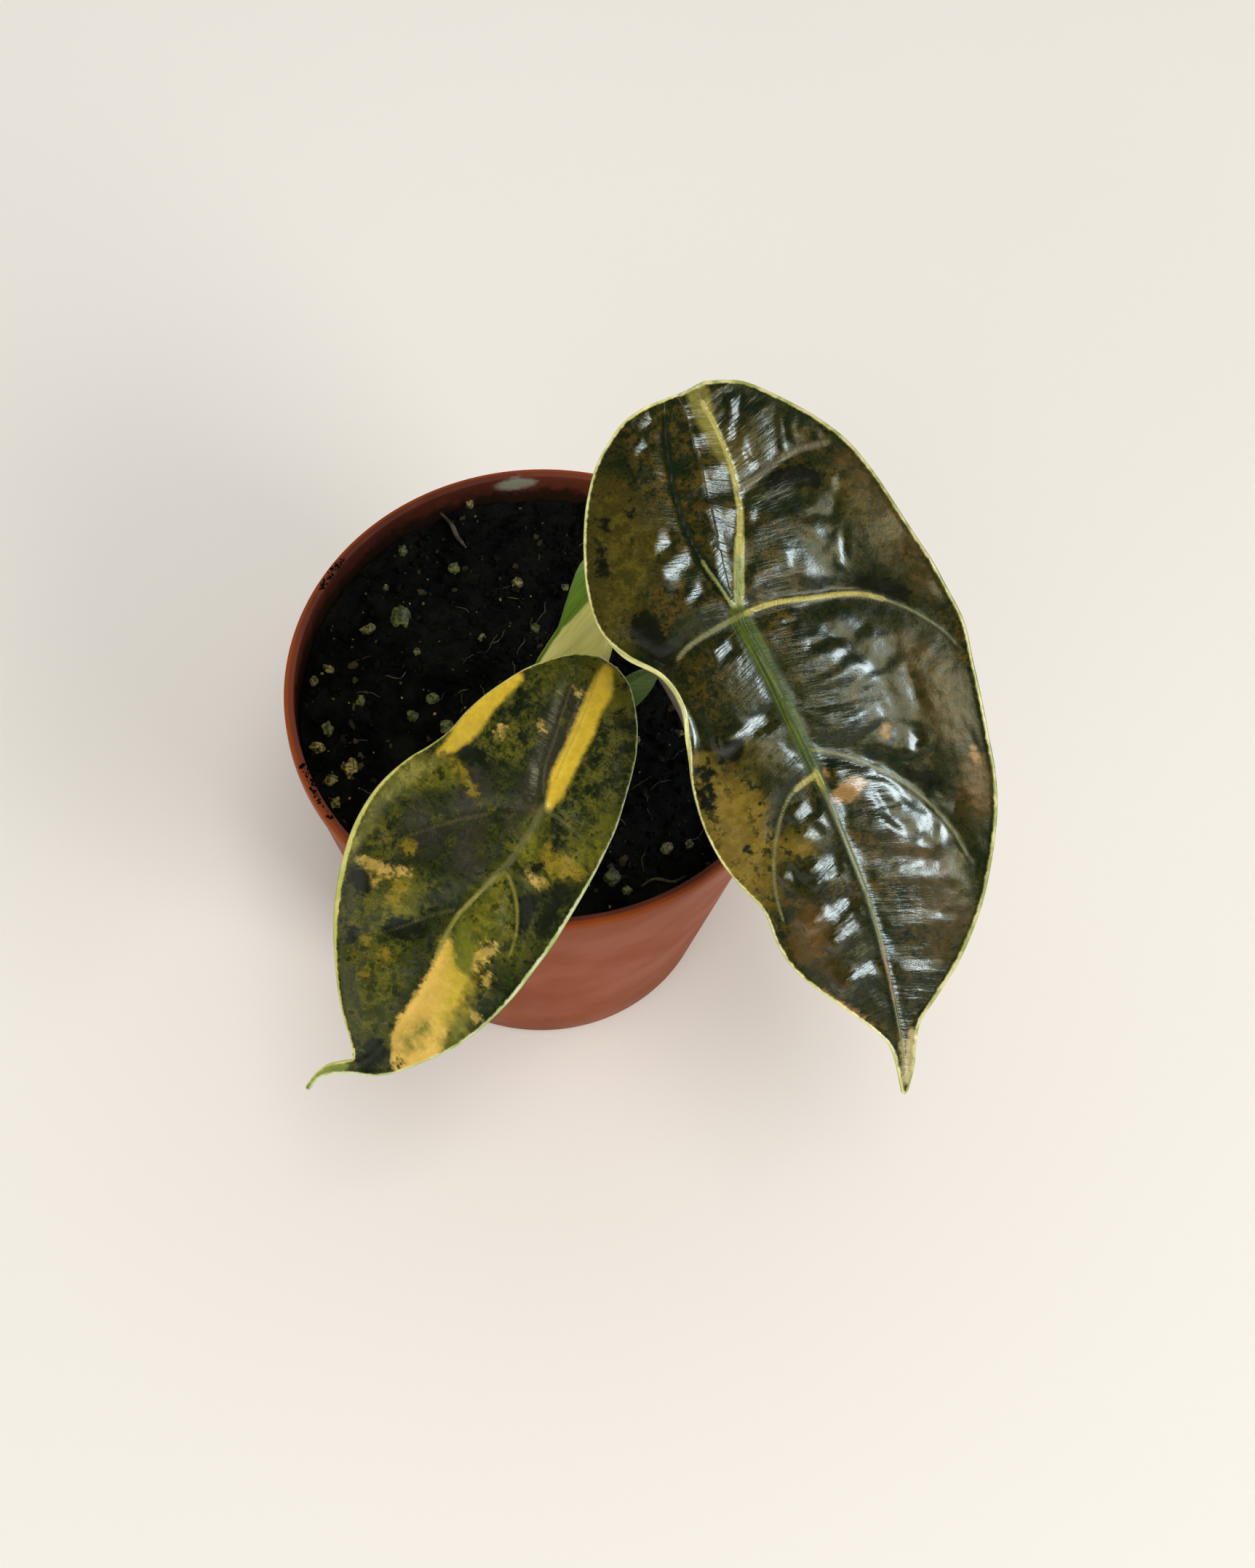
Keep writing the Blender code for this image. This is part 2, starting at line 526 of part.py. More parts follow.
def blade_thickness(blade, u, v, inset):
    """Thickness of the blade, with the ribs and the stalk's seat on its underside."""
    thick = BLADE_EDGE + (BLADE_BODY - BLADE_EDGE) * soft_step(inset, 0.0, BODY_REACH)
    rib = np.zeros(u.shape)
    for _, width, height, route in blade["veins"]:
        distance, share, _, _ = along_route(u, v, route)
        size = 1.0 - RIB_FADE * share
        rib = np.maximum(rib, height * size * np.exp(-(distance / (0.5 * width)) ** 2))
    rib = rib * soft_step(inset, 0.0, 2.0)
    seat = (SEAT_THICKNESS - BLADE_BODY) * (1.0 - soft_step(np.hypot(u, v), SEAT_RADIUS, 2.2 * SEAT_RADIUS))
    return thick + np.maximum(rib, seat)


def blade_grid(blade):
    """Points of the blade's plane in rows from sinus to tip and columns from left to right margin."""
    rows = [tuple(np.array(point, dtype=float) for point in row) for row in blade["rows"]]
    stations = [0.0]
    for start, end, count in blade["steps"]:
        stations += [start + (end - start) * (k + 1) / count for k in range(count)]
    grid, insets, curls, outwards = [], [], [], []
    for station in stations:
        left, middle, right = (curve_through([row[k] for row in rows], station) for k in range(3))
        curl = 0.0
        if blade["curl"]:
            first, peak, last = blade["curl"]
            curl = float(soft_step(station, first, peak) * (1.0 - soft_step(station, peak, last)))
        out = (left - middle) / np.linalg.norm(left - middle)
        width = blade["curl_width"]
        angle = math.radians(blade["curl_angle"]) * curl
        rolled = width * math.sin(angle) / angle if angle > 0.001 else width
        left = left + out * (width - rolled)
        line = [left + (middle - left) * (1.0 - step) for step in reversed(MARGIN_STEPS)]
        line += [middle + (right - middle) * step for step in MARGIN_STEPS[1:]]
        grid.append(line)
        spans = (np.linalg.norm(left - middle), np.linalg.norm(right - middle))
        insets.append([spans[0] * (1.0 - step) for step in reversed(MARGIN_STEPS)]
                      + [spans[1] * (1.0 - step) for step in MARGIN_STEPS[1:]])
        curls.append([angle] * len(MARGIN_STEPS) + [0.0] * (len(MARGIN_STEPS) - 1))
        outwards.append([out] * (2 * len(MARGIN_STEPS) - 1))
    return np.array(grid), np.array(insets), np.array(curls), np.array(outwards)


def roll_margin(blade, flat, inset, angle, outward, lift):
    """Rolls the left margin up and over where the blade is pinched at its waist."""
    width = blade["curl_width"]
    within = np.clip(width - inset, 0.0, width)
    safe = np.maximum(angle, 0.001)
    radius = width / safe
    turned = within / radius
    shift = np.where(angle > 0.001, radius * np.sin(turned) - within, 0.0)
    rise = np.where(angle > 0.001, radius * (1.0 - np.cos(turned)), 0.0)
    return flat + outward * shift[..., None], lift + rise


def grid_normals(surface):
    """Unit normals of a grid of points."""
    down = np.gradient(surface, axis=0)
    across = np.gradient(surface, axis=1)
    normals = np.cross(down, across)
    return normals / np.linalg.norm(normals, axis=2, keepdims=True)


def build_blade(name, blade, colour, group):
    """Models a leaf blade: two relief faces split into triangles alike, closed by the margin."""
    right, tip, out = blade_frame(blade)
    flat, inset, angle, outward = blade_grid(blade)
    lift = blade_lift(blade, flat[..., 0], flat[..., 1], inset)
    rest = blade_lift(blade, np.zeros(1), np.zeros(1), np.full(1, blade["half"]))[0]
    thick = blade_thickness(blade, flat[..., 0], flat[..., 1], inset)
    place, lift = roll_margin(blade, flat, inset, angle, outward, lift - rest)
    upper = (np.array(blade["joint"]) + place[..., 0, None] * right + place[..., 1, None] * tip
             + lift[..., None] * out)
    normals = grid_normals(upper)
    if np.sum(normals @ out) < 0.0:
        normals = -normals
    lower = upper - normals * thick[..., None]
    count_rows, count_columns = upper.shape[:2]
    points = [tuple(p) for p in upper.reshape(-1, 3)] + [tuple(p) for p in lower.reshape(-1, 3)]
    under = count_rows * count_columns
    faces = []
    for i in range(count_rows - 1):
        for j in range(count_columns - 1):
            a = i * count_columns + j
            b = a + 1
            c = b + count_columns
            d = a + count_columns
            short = np.linalg.norm(upper[i, j] - upper[i + 1, j + 1])
            long = np.linalg.norm(upper[i, j + 1] - upper[i + 1, j])
            pair = ((a, d, c), (a, c, b)) if short < long else ((a, d, b), (b, d, c))
            for face in pair:
                faces.append(face)
                faces.append(tuple(under + k for k in reversed(face)))
    border = [(0, j) for j in range(count_columns)]
    border += [(i, count_columns - 1) for i in range(1, count_rows)]
    border += [(count_rows - 1, j) for j in reversed(range(count_columns - 1))]
    border += [(i, 0) for i in reversed(range(1, count_rows - 1))]
    edge = [i * count_columns + j for i, j in border]
    for a, b in zip(edge, edge[1:] + edge[:1]):
        faces.append((a, b, under + b))
        faces.append((a, under + b, under + a))
    item = mesh_object(name, points, faces, group)
    item.data.materials.append(finish_material(name + "_skin", colour, 0.25))
    return item


def face_outwards(item):
    """Turns a closed mesh's faces out."""
    mesh = bmesh.new()
    mesh.from_mesh(item.data)
    bmesh.ops.recalc_face_normals(mesh, faces=mesh.faces)
    mesh.to_mesh(item.data)
    mesh.free()


def main():
    clear_scene()
    plant = new_collection("potted_alocasia")
    cutters = new_collection("cutters")
    build_pot(plant, cutters)
    build_soil(plant)
    build_corm(plant)
    large_out = blade_frame(LARGE)[2]
    small_out = blade_frame(SMALL)[2]
    build_stalk("petiole_large", PETIOLE_LARGE, STALK_SIDES, large_out, (0.55, 0.48, 0.20), plant)
    build_stalk("petiole_small", PETIOLE_SMALL, STALK_SIDES, small_out, (0.30, 0.36, 0.10), plant)
    build_stalk("new_shoot", NEW_SHOOT, SHOOT_SIDES, None, (0.15, 0.25, 0.06), plant)
    build_blade("leaf_blade_large", LARGE, (0.035, 0.05, 0.02), plant)
    build_blade("leaf_blade_small", SMALL, (0.10, 0.11, 0.03), plant)
    for item in plant.objects:
        if item.name != "nursery_pot":
            face_outwards(item)


main()
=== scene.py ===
"""Looks of the potted alocasia: fine leaf blades, stalks, peat and pot, with procedural finishes.

World frame as in the CAD model: metres, +Z up, front -Y, origin under the pot. Sizes below are
millimetres and degrees unless a name says otherwise, and MM turns them into metres.
"""

import math
import random

import bmesh
import bpy
import numpy as np
from mathutils import Matrix, Vector, noise


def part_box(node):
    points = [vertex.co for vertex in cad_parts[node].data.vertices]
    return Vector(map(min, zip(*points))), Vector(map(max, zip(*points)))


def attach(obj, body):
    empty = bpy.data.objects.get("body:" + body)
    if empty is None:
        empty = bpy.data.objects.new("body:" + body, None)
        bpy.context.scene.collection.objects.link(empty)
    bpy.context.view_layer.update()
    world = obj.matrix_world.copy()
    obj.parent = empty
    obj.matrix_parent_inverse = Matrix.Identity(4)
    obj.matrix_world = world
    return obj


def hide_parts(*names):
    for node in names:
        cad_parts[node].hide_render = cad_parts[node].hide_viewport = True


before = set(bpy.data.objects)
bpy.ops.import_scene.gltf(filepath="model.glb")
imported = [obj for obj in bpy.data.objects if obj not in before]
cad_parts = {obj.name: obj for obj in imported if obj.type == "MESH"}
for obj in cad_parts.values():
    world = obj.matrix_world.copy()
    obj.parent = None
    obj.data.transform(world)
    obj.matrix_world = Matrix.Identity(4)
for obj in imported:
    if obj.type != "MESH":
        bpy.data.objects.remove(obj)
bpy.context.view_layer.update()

MM = 0.001
# clearance between neighbouring solids
GAP = 0.3
SEED = 11

# Pot
POT_HEIGHT = 79.0
RIM_RADIUS = 45.0
RIM_WIDTH = 1.8
RIM_STEP = 0.4
RIM_CHAMFER = 0.6
BEAD_HEIGHT = 2.6
FOOT_RADIUS = 32.5
FOOT_CHAMFER = 0.9
FOOT_RISE = 1.2
WALL = 1.0
FLOOR = 1.1
FOOT_LIFT = 1.5
FOOT_WIDTH = 5.0
PAD_RADIUS = 9.0
INNER_CHAMFER = 0.9
INNER_STEPS = 10
OUTER_STEPS = 12
DRAIN_RADIUS = 2.6
DRAIN_CIRCLE = 17.0
DRAIN_COUNT = 6
DRAIN_TURN = 0.55
DRILL_LENGTH = 8.0
DRILL_SIDES = 40
POT_SEGMENTS = 168
MERGE_DISTANCE = 0.00001
POT_SHARP = 32.0
# limescale inside the back wall: middle and half-size, to the right and in height
SCALE_PATCH = ((-9.5, 4.2), (76.8, 2.2))

# Soil
SOIL_DROP = 6.5
SOIL_EDGE_DROP = 0.4
SOIL_SIDE_DROP = 4.0
SOIL_SIDES = 264
SOIL_RING_STEP = 0.5
SOIL_SHARP = 40.0
# layers of relief: size across, height, slice of the noise
LUMPS = (9.0, 1.3, 0.3)
CRUMBS = (3.7, 0.7, 5.1)
FINE_CRUMBS = (1.7, 0.55, 9.4)
GRIT = (0.8, 0.32, 2.2)
CROWN_HOLLOW = 3.0
# loose grains: how many, how far from the middle, and their radii
CRUMB_COUNT = 950
CRUMB_REACH = 41.6
CRUMB_RADII = (0.45, 1.15)
DUST_COUNT = 2600
DUST_REACH = 42.3
DUST_RADII = (0.14, 0.42)
RIM_CRUMB_COUNT = 46
RIM_CRUMB_RADII = (0.12, 0.42)
RIM_CRUMB_INSETS = (1.7, 0.55)
EXTRA_GRANULES = 34
EXTRA_REACH = 40.5
EXTRA_RADII = (0.7, 1.4)
GRAIN_COUNT = 150
GRAIN_REACH = 41.5
GRAIN_RADII = (0.15, 0.38)
# the soil that the photograph shows best: on the left, and at the front of the right side
SHOWN_LEFT = -8.0
SHOWN_RIGHT = 10.0
SHOWN_FRONT = -20.0
FIBRE_COUNT = 70
FIBRE_REACH = 37.0
FIBRE_RADII = (0.05, 0.13)
FIBRE_KNOTS = 9
FIBRE_LEG = 0.55
FIBRE_SIDES = 6
GRAIN_SHAPES = 9
GRAIN_SHARP = 60.0
GRANULE_STRETCH = (1.0, 0.85, 0.75)
# granules that the photograph shows: x, y, radius, tint (0 green, 1 tan)
GRANULES = (
    (-19, 26.1, 1.1, 0.3), (-7.4, 24.1, 1.2, 0.6), (-28.4, 28.3, 1, 0.2), (-17.6, 39.1, 0.9, 0.7),
    (-32.6, 11.8, 1.2, 0.4), (-27.1, 14.6, 1.9, 0), (-38.4, 3.1, 1.1, 0.5), (-40.6, 0.3, 1, 0.5),
    (-19.6, -0.9, 1.2, 0.1), (-32, -2.8, 1.1, 0.2), (-22.8, -4.3, 1.2, 0.1), (-36.9, -8.9, 1.3, 0.2),
    (-38.2, -12.4, 1.3, 0.8), (-32.3, -15.4, 1.7, 0.9), (-35, -18.6, 1.1, 0.6),
    (-33.8, -22.8, 1.1, 0.5), (-16.6, -6.4, 1.3, 0.1), (23.1, -25.4, 1.2, 0.4), (26.9, -24.6, 0.9, 0.6),
    (14.3, -32.1, 1.6, 0.2), (17, -34.3, 1, 0.3), (-23.5, 8, 0.7, 0.3), (-12.5, 12.5, 0.8, 0.4),
    (-30.5, 20.5, 0.7, 0.5),
)
# a splinter, a root and two lines of crumbs on the rim, as places seen from above
SPLINTER = ((-22.9, 37.2), (-20.4, 34.6), (-18.9, 32.0), (-17.2, 30.2))
SPLINTER_RADIUS = 0.42
ROOT_FIBRE = ((19.3, -33.1), (21.4, -31.6), (24.2, -31.9), (26.7, -30.7))
ROOT_RADIUS = 0.3
RIM_CRUMBS = (((-43.0, 16.0), (-39.4, 22.6)), ((-41.0, -19.8), (-33.6, -29.0)))

# Crown of the plant. Stage: share of its radius, height above the soil's level, from the foot up.
CORM_CENTRE = (3.0, -2.0)
CORM_RADIUS = 9.0
CORM_SIDES = 96
CORM_SHARP = 50.0
CORM_STAGES = ((0.62, -14.0), (0.94, -11.0), (0.99, -6.0), (0.99, -2.5), (0.985, -0.5), (0.96, 0.3),
               (0.93, 0.9), (0.88, 1.4), (0.8, 1.65), (0.6, 1.5), (0.35, 1.55))

# Blades
BLADE_EDGE = 0.65
BLADE_BODY = 0.85
SEAT_RADIUS = 2.4
SEAT_THICKNESS = 2.6
BODY_REACH = 3.0
VEIN_FADE = 0.75
RIB_FADE = 0.85
RIM_PULL = 0.2
EDGE_BEAD = 0.12
FOLD_BEND = 1.2
ROUTE_LEGS = 4
NO_ROLL = 0.001
FAR_AWAY = 30.0
MAIN_VEINS = (0, 1, 2)
TONES = ("dim", "shade", "pale", "green", "gold", "olive", "tan", "ash")
# the puckers' smooth facets: slopes to the right and towards the tip of each kind, how they bend,
# how ragged their outlines are, and the share of the wrinkles that stays on each kind
FACET_SLOPES = ((-0.38, -0.08), (-0.14, -0.06))
FACET_BOW = 0.12
FACET_RAGGED = 0.2
FACET_WRINKLE = (0.15, 0.7)
# cord in each furrow: height and half-width, for the first vein and for the others
CORD_HEIGHT = (0.42, 0.22)
CORD_WIDTH = (1.0, 0.5)

# Each blade lies in a frame of its own: u to the right, v towards the tip, from the point where the
# stalk meets it. The joint is that point in the world. Front, back and half are its reaches to the tip,
# to the sinus and to the side. Arch is how far an end sinks, droop how far the left half does, and fall
# the slope of the right half. Pillow is the rise between veins, and calm the share of the wrinkles on
# the flanks that mirror the window. Curl says at which rows the left margin starts to roll over, rolls
# most and stops.
LARGE = {
    "joint": (29.7, -17.8, 138.4), "heading": 27, "pitch": 25, "bank": -6, "front": 75, "back": 36,
    "half": 25, "arch_front": 9, "arch_back": 3, "droop": 3.5, "fall": 0.12,
    # left margin, midline and right margin, from the sinus to the tip
    "rows": (
        ((-2.6, -34.3), (2.6, -34.6), (7.2, -35.2)), ((-6.4, -33.2), (3.2, -32.6), (12.4, -33.6)),
        ((-9.4, -31.2), (2.9, -29.5), (16.6, -30.2)), ((-13, -27.8), (2.3, -24), (21.4, -25.2)),
        ((-16.3, -22.5), (1.7, -18.5), (24.9, -20.2)), ((-18.7, -16.5), (1.1, -13), (27.2, -14.4)),
        ((-20.2, -10.5), (0.5, -7), (28.9, -8)), ((-20.3, -4.8), (0, -1.5), (30.6, -1.5)),
        ((-18, 0), (0.7, 4), (32, 5)), ((-13.8, 4.7), (1.6, 9.5), (33, 11.5)),
        ((-12.3, 10), (2.3, 15), (32.4, 17.5)), ((-13.4, 15.5), (2.9, 20.5), (31.8, 23.3)),
        ((-14.8, 21.5), (3.5, 26), (31, 29.5)), ((-15.1, 28), (4, 31.5), (30.2, 35.2)),
        ((-14.2, 34), (4.4, 37), (28.5, 41)), ((-12.4, 38.8), (4.8, 42.5), (25.7, 47)),
        ((-10.5, 43), (5, 48), (21.8, 53.5)), ((-10, 49), (4.9, 54), (16.5, 59.7)),
        ((-8.3, 54), (4.5, 59.5), (11.2, 64)), ((-4.2, 60), (4, 64.5), (7.3, 67)),
        ((0, 66), (3.5, 68.5), (5.4, 70.3)), ((1.6, 70), (2.9, 72), (4.4, 73)),
        ((1.2, 76.6), (1.7, 77), (2.2, 76.6)),
    ),
    # vein: furrow depth, furrow half-width, rib height below the blade, route from the joint
    "veins": (
        (0.3, 2.6, 2.2,
         ((0, 0), (1.7, 10), (3, 22), (4.2, 34), (5, 47.5), (4.5, 58.4), (3.5, 68), (2, 75))),
        (0.4, 2, 1.5, ((0, 0), (3.2, -8.9), (5.4, -14.5), (6.5, -20.5), (6.4, -27), (5.7, -33))),
        (0.4, 2, 1.5, ((0, 0), (-2.7, -10.4), (-3.2, -18.1), (-1.9, -26.9), (-0.4, -32))),
        (0.8, 2.6, 1.1,
         ((0, 0), (5.2, -0.3), (10.9, 0.7), (18.7, 2.4), (24.7, 6.4), (29.2, 11.5), (31, 15.5))),
        (0.7, 2.4, 1, ((3.2, 22), (8.4, 24.7), (13.6, 29), (17.7, 33.8), (20.9, 40.2), (22.4, 47.1))),
        (0.6, 2.4, 0.8, ((0, 0), (-5, 0.9), (-8.7, 1.9), (-11.6, 3.7))),
        (0.7, 2.2, 0.9, ((3.3, 26), (-1.5, 27.8), (-4.8, 31.9), (-6.9, 36.3), (-8.1, 42.2), (-8, 48))),
        (0.6, 2.2, 0.8, ((6.2, -17.5), (12.4, -19.9), (17, -21), (23.6, -20.5))),
    ),
    "pillow": 0.4, "pillow_reach": 6.5, "calm": 0.3, "pillow_edge": 8,
    # fold: vein, side of it, reach, slope by the share of the way along the vein
    "folds": (
        (0, 1, 8.5, ((0, 0), (0.05, 0.12), (0.8, 0.12), (1, 0))),
        (2, -1, 8, ((0, 0), (0.1, 0.12), (0.9, 0.12), (1, 0.03))),
    ),
    # pucker: vein, crest height, spacing, reach, first and last share of the vein, phase
    "puckers": ((0, 0.175, 8, 13, 0.16, 0.88, 0.4), (2, 0.14, 7.5, 11, 0.1, 0.95, 1.2)),
    "edge_wave": 0.7, "edge_period": 17, "wave_reach": 11, "curl": (7.1, 9.7, 12.2), "curl_angle": 145,
    "curl_width": 4.5, "row_count": 268, "half_columns": 70, "seed": 3,
    # vein, wrinkle height, lattice along the vein and away from it, reach
    "wrinkles": (
        (0, 0.26, 2.4, 11, 13), (1, 0.22, 2.4, 8, 9), (2, 0.3, 2.2, 7, 7), (3, 0.14, 3, 9, 7),
        (4, 0.16, 2.4, 8, 7), (6, 0.16, 2.6, 6, 5),
    ),
    # crest from one end to the other, height, half-width
    "crests": (
        (4.7, 35.5, 12, 36.9, 0.25, 1.2), (5, 45.1, 14.5, 48.5, 0.25, 1.1),
        (5, 31.1, 12, 32.5, 0.25, 1.1), (4.4, 14.5, 17, 12.1, 0.25, 1.2), (5, 21.3, 16, 19.3, 0.2, 1.1),
        (3.6, 10.7, 15, 8.9, 0.2, 1.1), (9, -8.1, 12.5, -2.1, 0.2, 1.2),
        (13, -12.6, 17.5, -4.1, 0.25, 1.3),
    ),
    # smooth facet of a pucker: from one end to the other, half-width, which way it leans
    "facets": (
        (-8.6, 17, 0.2, 15.5, 1.15, 0), (-6, 4.5, -2.2, 3.7, 1.1, 0), (-2.4, 31.2, 1.7, 30.1, 1.1, 0),
        (-2, 34.2, 1.2, 34, 0.7, 0), (-2.8, 39.6, 2.9, 38.8, 0.95, 0), (-2.4, 41.6, 2.1, 40.9, 0.55, 0),
        (-6.6, 39.3, -4.4, 38.9, 0.9, 0), (-5.2, 46.9, 3, 45.8, 1.25, 0),
        (-2.5, 50.9, 2.7, 49, 0.95, 0), (-2.8, 57.2, 3.6, 55.7, 1, 0),
        (-9.2, -13.4, -5.6, -14.2, 1.2, 0), (-9.8, -9.2, -3.8, -10.5, 1.5, 0),
        (-7.3, -4.5, -3.8, -6, 1, 0), (-5, -31.5, -2.2, -32.7, 0.9, 0), (-7, -28, -4.2, -29.2, 0.9, 0),
        (0.4, -11, -0.9, -3, 1.3, 0), (0.9, -17, 1.9, -13.4, 1.4, 0), (10.7, -31.6, 9.6, -28, 0.9, 0),
        (8.7, -27.8, 7.9, -25, 0.9, 0), (16.5, -26.3, 15.3, -21.8, 0.5, 0),
        (7.4, -14.5, 7, -12.5, 0.9, 0), (19.2, -6.5, 17.6, -2.5, 0.6, 0),
        (18.2, 27.5, 20.6, 25.8, 0.7, 0), (10.8, 28.6, 12.4, 28.7, 0.6, 0),
        (13.7, -28.3, 12, -21, 2, 1), (19.1, -27, 17.3, -23, 0.6, 1),
        (21.2, -23.5, 21.4, -21.5, 0.8, 1), (16.8, -12.9, 19.8, -10.6, 1.4, 1),
        (15, -8.6, 17.2, -6.3, 1.5, 1), (11, -6.2, 13.6, -3.6, 1.3, 1),
        (20.8, -16, 20.6, -12.6, 0.9, 1), (6.2, 3, 8.4, 2.6, 0.8, 1), (8.6, 7.6, 14, 6.8, 0.7, 1),
        (13, 4.8, 16.6, 8.4, 1.9, 1), (17.2, 9, 19.8, 14, 2.1, 1), (20.4, 15.5, 20.6, 22, 1.8, 1),
        (19.9, 24, 17.2, 27.2, 1.4, 1), (9.6, 16.8, 17, 15.4, 0.7, 1), (9.4, 22.2, 16.6, 20.8, 0.8, 1),
        (27.5, 28, 28.1, 31.6, 0.8, 1), (6.6, 34.3, 8.9, 34.8, 1, 1), (12.2, 31.2, 14, 33.5, 1.3, 1),
        (13.4, 34.5, 16.2, 38.8, 1.6, 1), (16.4, 40, 18.6, 42.7, 1.1, 1),
        (19.5, 35.2, 23, 37.8, 1.3, 1), (6, 49.8, 15.5, 53.1, 0.6, 1), (6.5, 54.8, 13, 56.8, 0.6, 1),
        (5.4, 40.9, 10.1, 42.8, 0.6, 1),
    ),
    # colour patches: chains of points with a half-width each
    "patches": {
        "umber": (
            ((-12.7, -24.1, 1.7), (-12.7, -19.7, 3.2), (-13.7, -15.1, 3.5), (-14.5, -11.1, 3.2),
             (-17.4, -6.9, 2.6), (-18.4, -3.3, 2)), ((-8.8, -16.8, 1.7), (-9.5, -12.4, 1.2)),
            ((22.1, -14.1, 1.6), (24.4, -9.8, 2.2), (27.5, -3.5, 2.2)),
            ((-6, 19.3, 1.7), (-2.8, 20.8, 2)), ((18.7, 46.2, 1.5), (18.4, 49, 1.6)),
        ),
        "ochre": (
            ((-12.9, 18.8, 1), (-11.7, 22.5, 2.4), (-10.6, 27.3, 4.2), (-10.6, 32.7, 4.4)),
            ((-11.2, 35.9, 3.4), (-10.5, 40, 1.8)), ((-3.9, 34.8, 1.5), (-1.6, 35.9, 1)),
        ),
        "bronze": (
            ((24.5, -15.5, 1.8), (26.6, -10, 2.4), (28.4, -3, 2.2), (29.2, 4, 1.6)),
            ((24.4, 12, 1.8), (25, 17, 2.6), (25.6, 21.5, 2.8), (25.6, 26, 2.2)),
            ((-4.6, 52.3, 1.5), (-3.2, 54.8, 1)), ((13.6, 57.5, 1.2), (17.6, 54.6, 1.4)),
            ((13, 41, 2.2), (16.5, 45.5, 2.4), (14.5, 51.5, 2)),
        ),
        "rust": (
            ((27.2, 33.2, 1.2), (26.9, 35.7, 1.7), (25.9, 38.4, 1.2)),
            ((-4.4, 46.6, 0.9), (-5.6, 49.6, 1.2)),
        ),
        "gold": (
            ((5.6, -34.8, 1.6), (5.5, -32.1, 1.7), (5.4, -28.3, 1.3), (5.6, -24.9, 1),
             (6.1, -21.1, 0.4)),
        ),
        "brown": (((8.5, -24.6, 1.4), (8.3, -21.7, 1.9), (7.7, -19.9, 1.2)),),
        "pink": (
            ((5.6, 30.1, 1.1), (7.3, 30, 1.5), (9, 29.6, 1.3)), ((16.1, 22.9, 0.6), (15.7, 23.9, 0.4)),
            ((4.8, 26.3, 0.5),), ((27.9, 30.4, 0.5), (27.9, 31.8, 0.6)),
            ((-5.9, 57.6, 0.3), (-4, 60.2, 0.5), (-2.2, 62.4, 0.5), (-0.4, 65, 0.3)),
        ),
        "cream": (
            ((5.6, 68, 0.4), (4.6, 70, 0.8), (3.6, 72.4, 0.9), (2.6, 74.6, 0.8)),
            ((3.5, 68.9, 0.3), (3.2, 71.1, 0.2)),
        ),
        "dark": (
            ((-14.2, 19.5, 0.6), (-12.2, 20.4, 0.9), (-11.2, 21, 0.5)),
            ((-14.2, 22.6, 0.9), (-13.2, 25.2, 0.9)), ((-12.2, 21.8, 0.6), (-12.7, 24.4, 0.8)),
            ((-9.4, 19.4, 0.6),), ((-11.4, 16.4, 0.7),), ((-9.9, 33.6, 0.7),), ((-12.8, 30.2, 0.4),),
            ((-7.5, 18.2, 1.7),), ((-14.2, -19.4, 0.8),), ((-16.9, -12.8, 0.9), (-16.2, -15.6, 0.6)),
            ((-10.4, -19.6, 0.7),), ((-14.1, -3.4, 2), (-12.8, 1.6, 2)),
            ((12.8, -17.3, 2), (17.6, -16.4, 1.6)), ((20.6, 1.4, 1.6), (25, 4.4, 1.4)),
            ((17.6, 30.4, 1), (20.8, 33.4, 1)),
        ),
    },
    # visible vein lines: tone, vein, share of its route from and to, half-width from and to
    "lines": (
        ("dim", 0, 0.3, 0.74, 0.95, 0.5), ("green", 0, 0, 0.37, 1.7, 1),
        ("olive", 0, 0.36, 0.74, 0.3, 0.28), ("tan", 0, 0.72, 0.83, 0.26, 0.24),
        ("olive", 0, 0.82, 0.98, 0.2, 0.14), ("pale", 1, 0, 0.34, 0.8, 0.75),
        ("gold", 1, 0.28, 0.97, 0.55, 0.4), ("green", 1, 0, 0.3, 0.16, 0.14),
        ("shade", 2, 0.12, 0.97, 0.6, 0.6), ("pale", 2, 0, 0.3, 0.26, 0.16),
        ("gold", 3, 0.02, 0.62, 0.42, 0.34), ("olive", 3, 0.58, 0.97, 0.2, 0.1),
        ("olive", 4, 0.02, 0.95, 0.26, 0.16), ("olive", 5, 0, 0.9, 0.45, 0.3),
        ("olive", 6, 0.1, 0.9, 0.24, 0.14), ("ash", 7, 0, 0.9, 0.55, 0.4),
        ("gold", 0, 0.345, 0.37, 0.5, 0.5), ("gold", 6, 0, 0.14, 0.5, 0.35),
    ),
    # pale margin: v, width on the left and on the right
    "rim": (
        (-40, 0.35, 0.45), (-20, 0.4, 0.5), (5, 0.3, 0.5), (30, 0.3, 0.55), (60, 0.3, 0.6),
        (78, 0.25, 0.3),
    ),
}
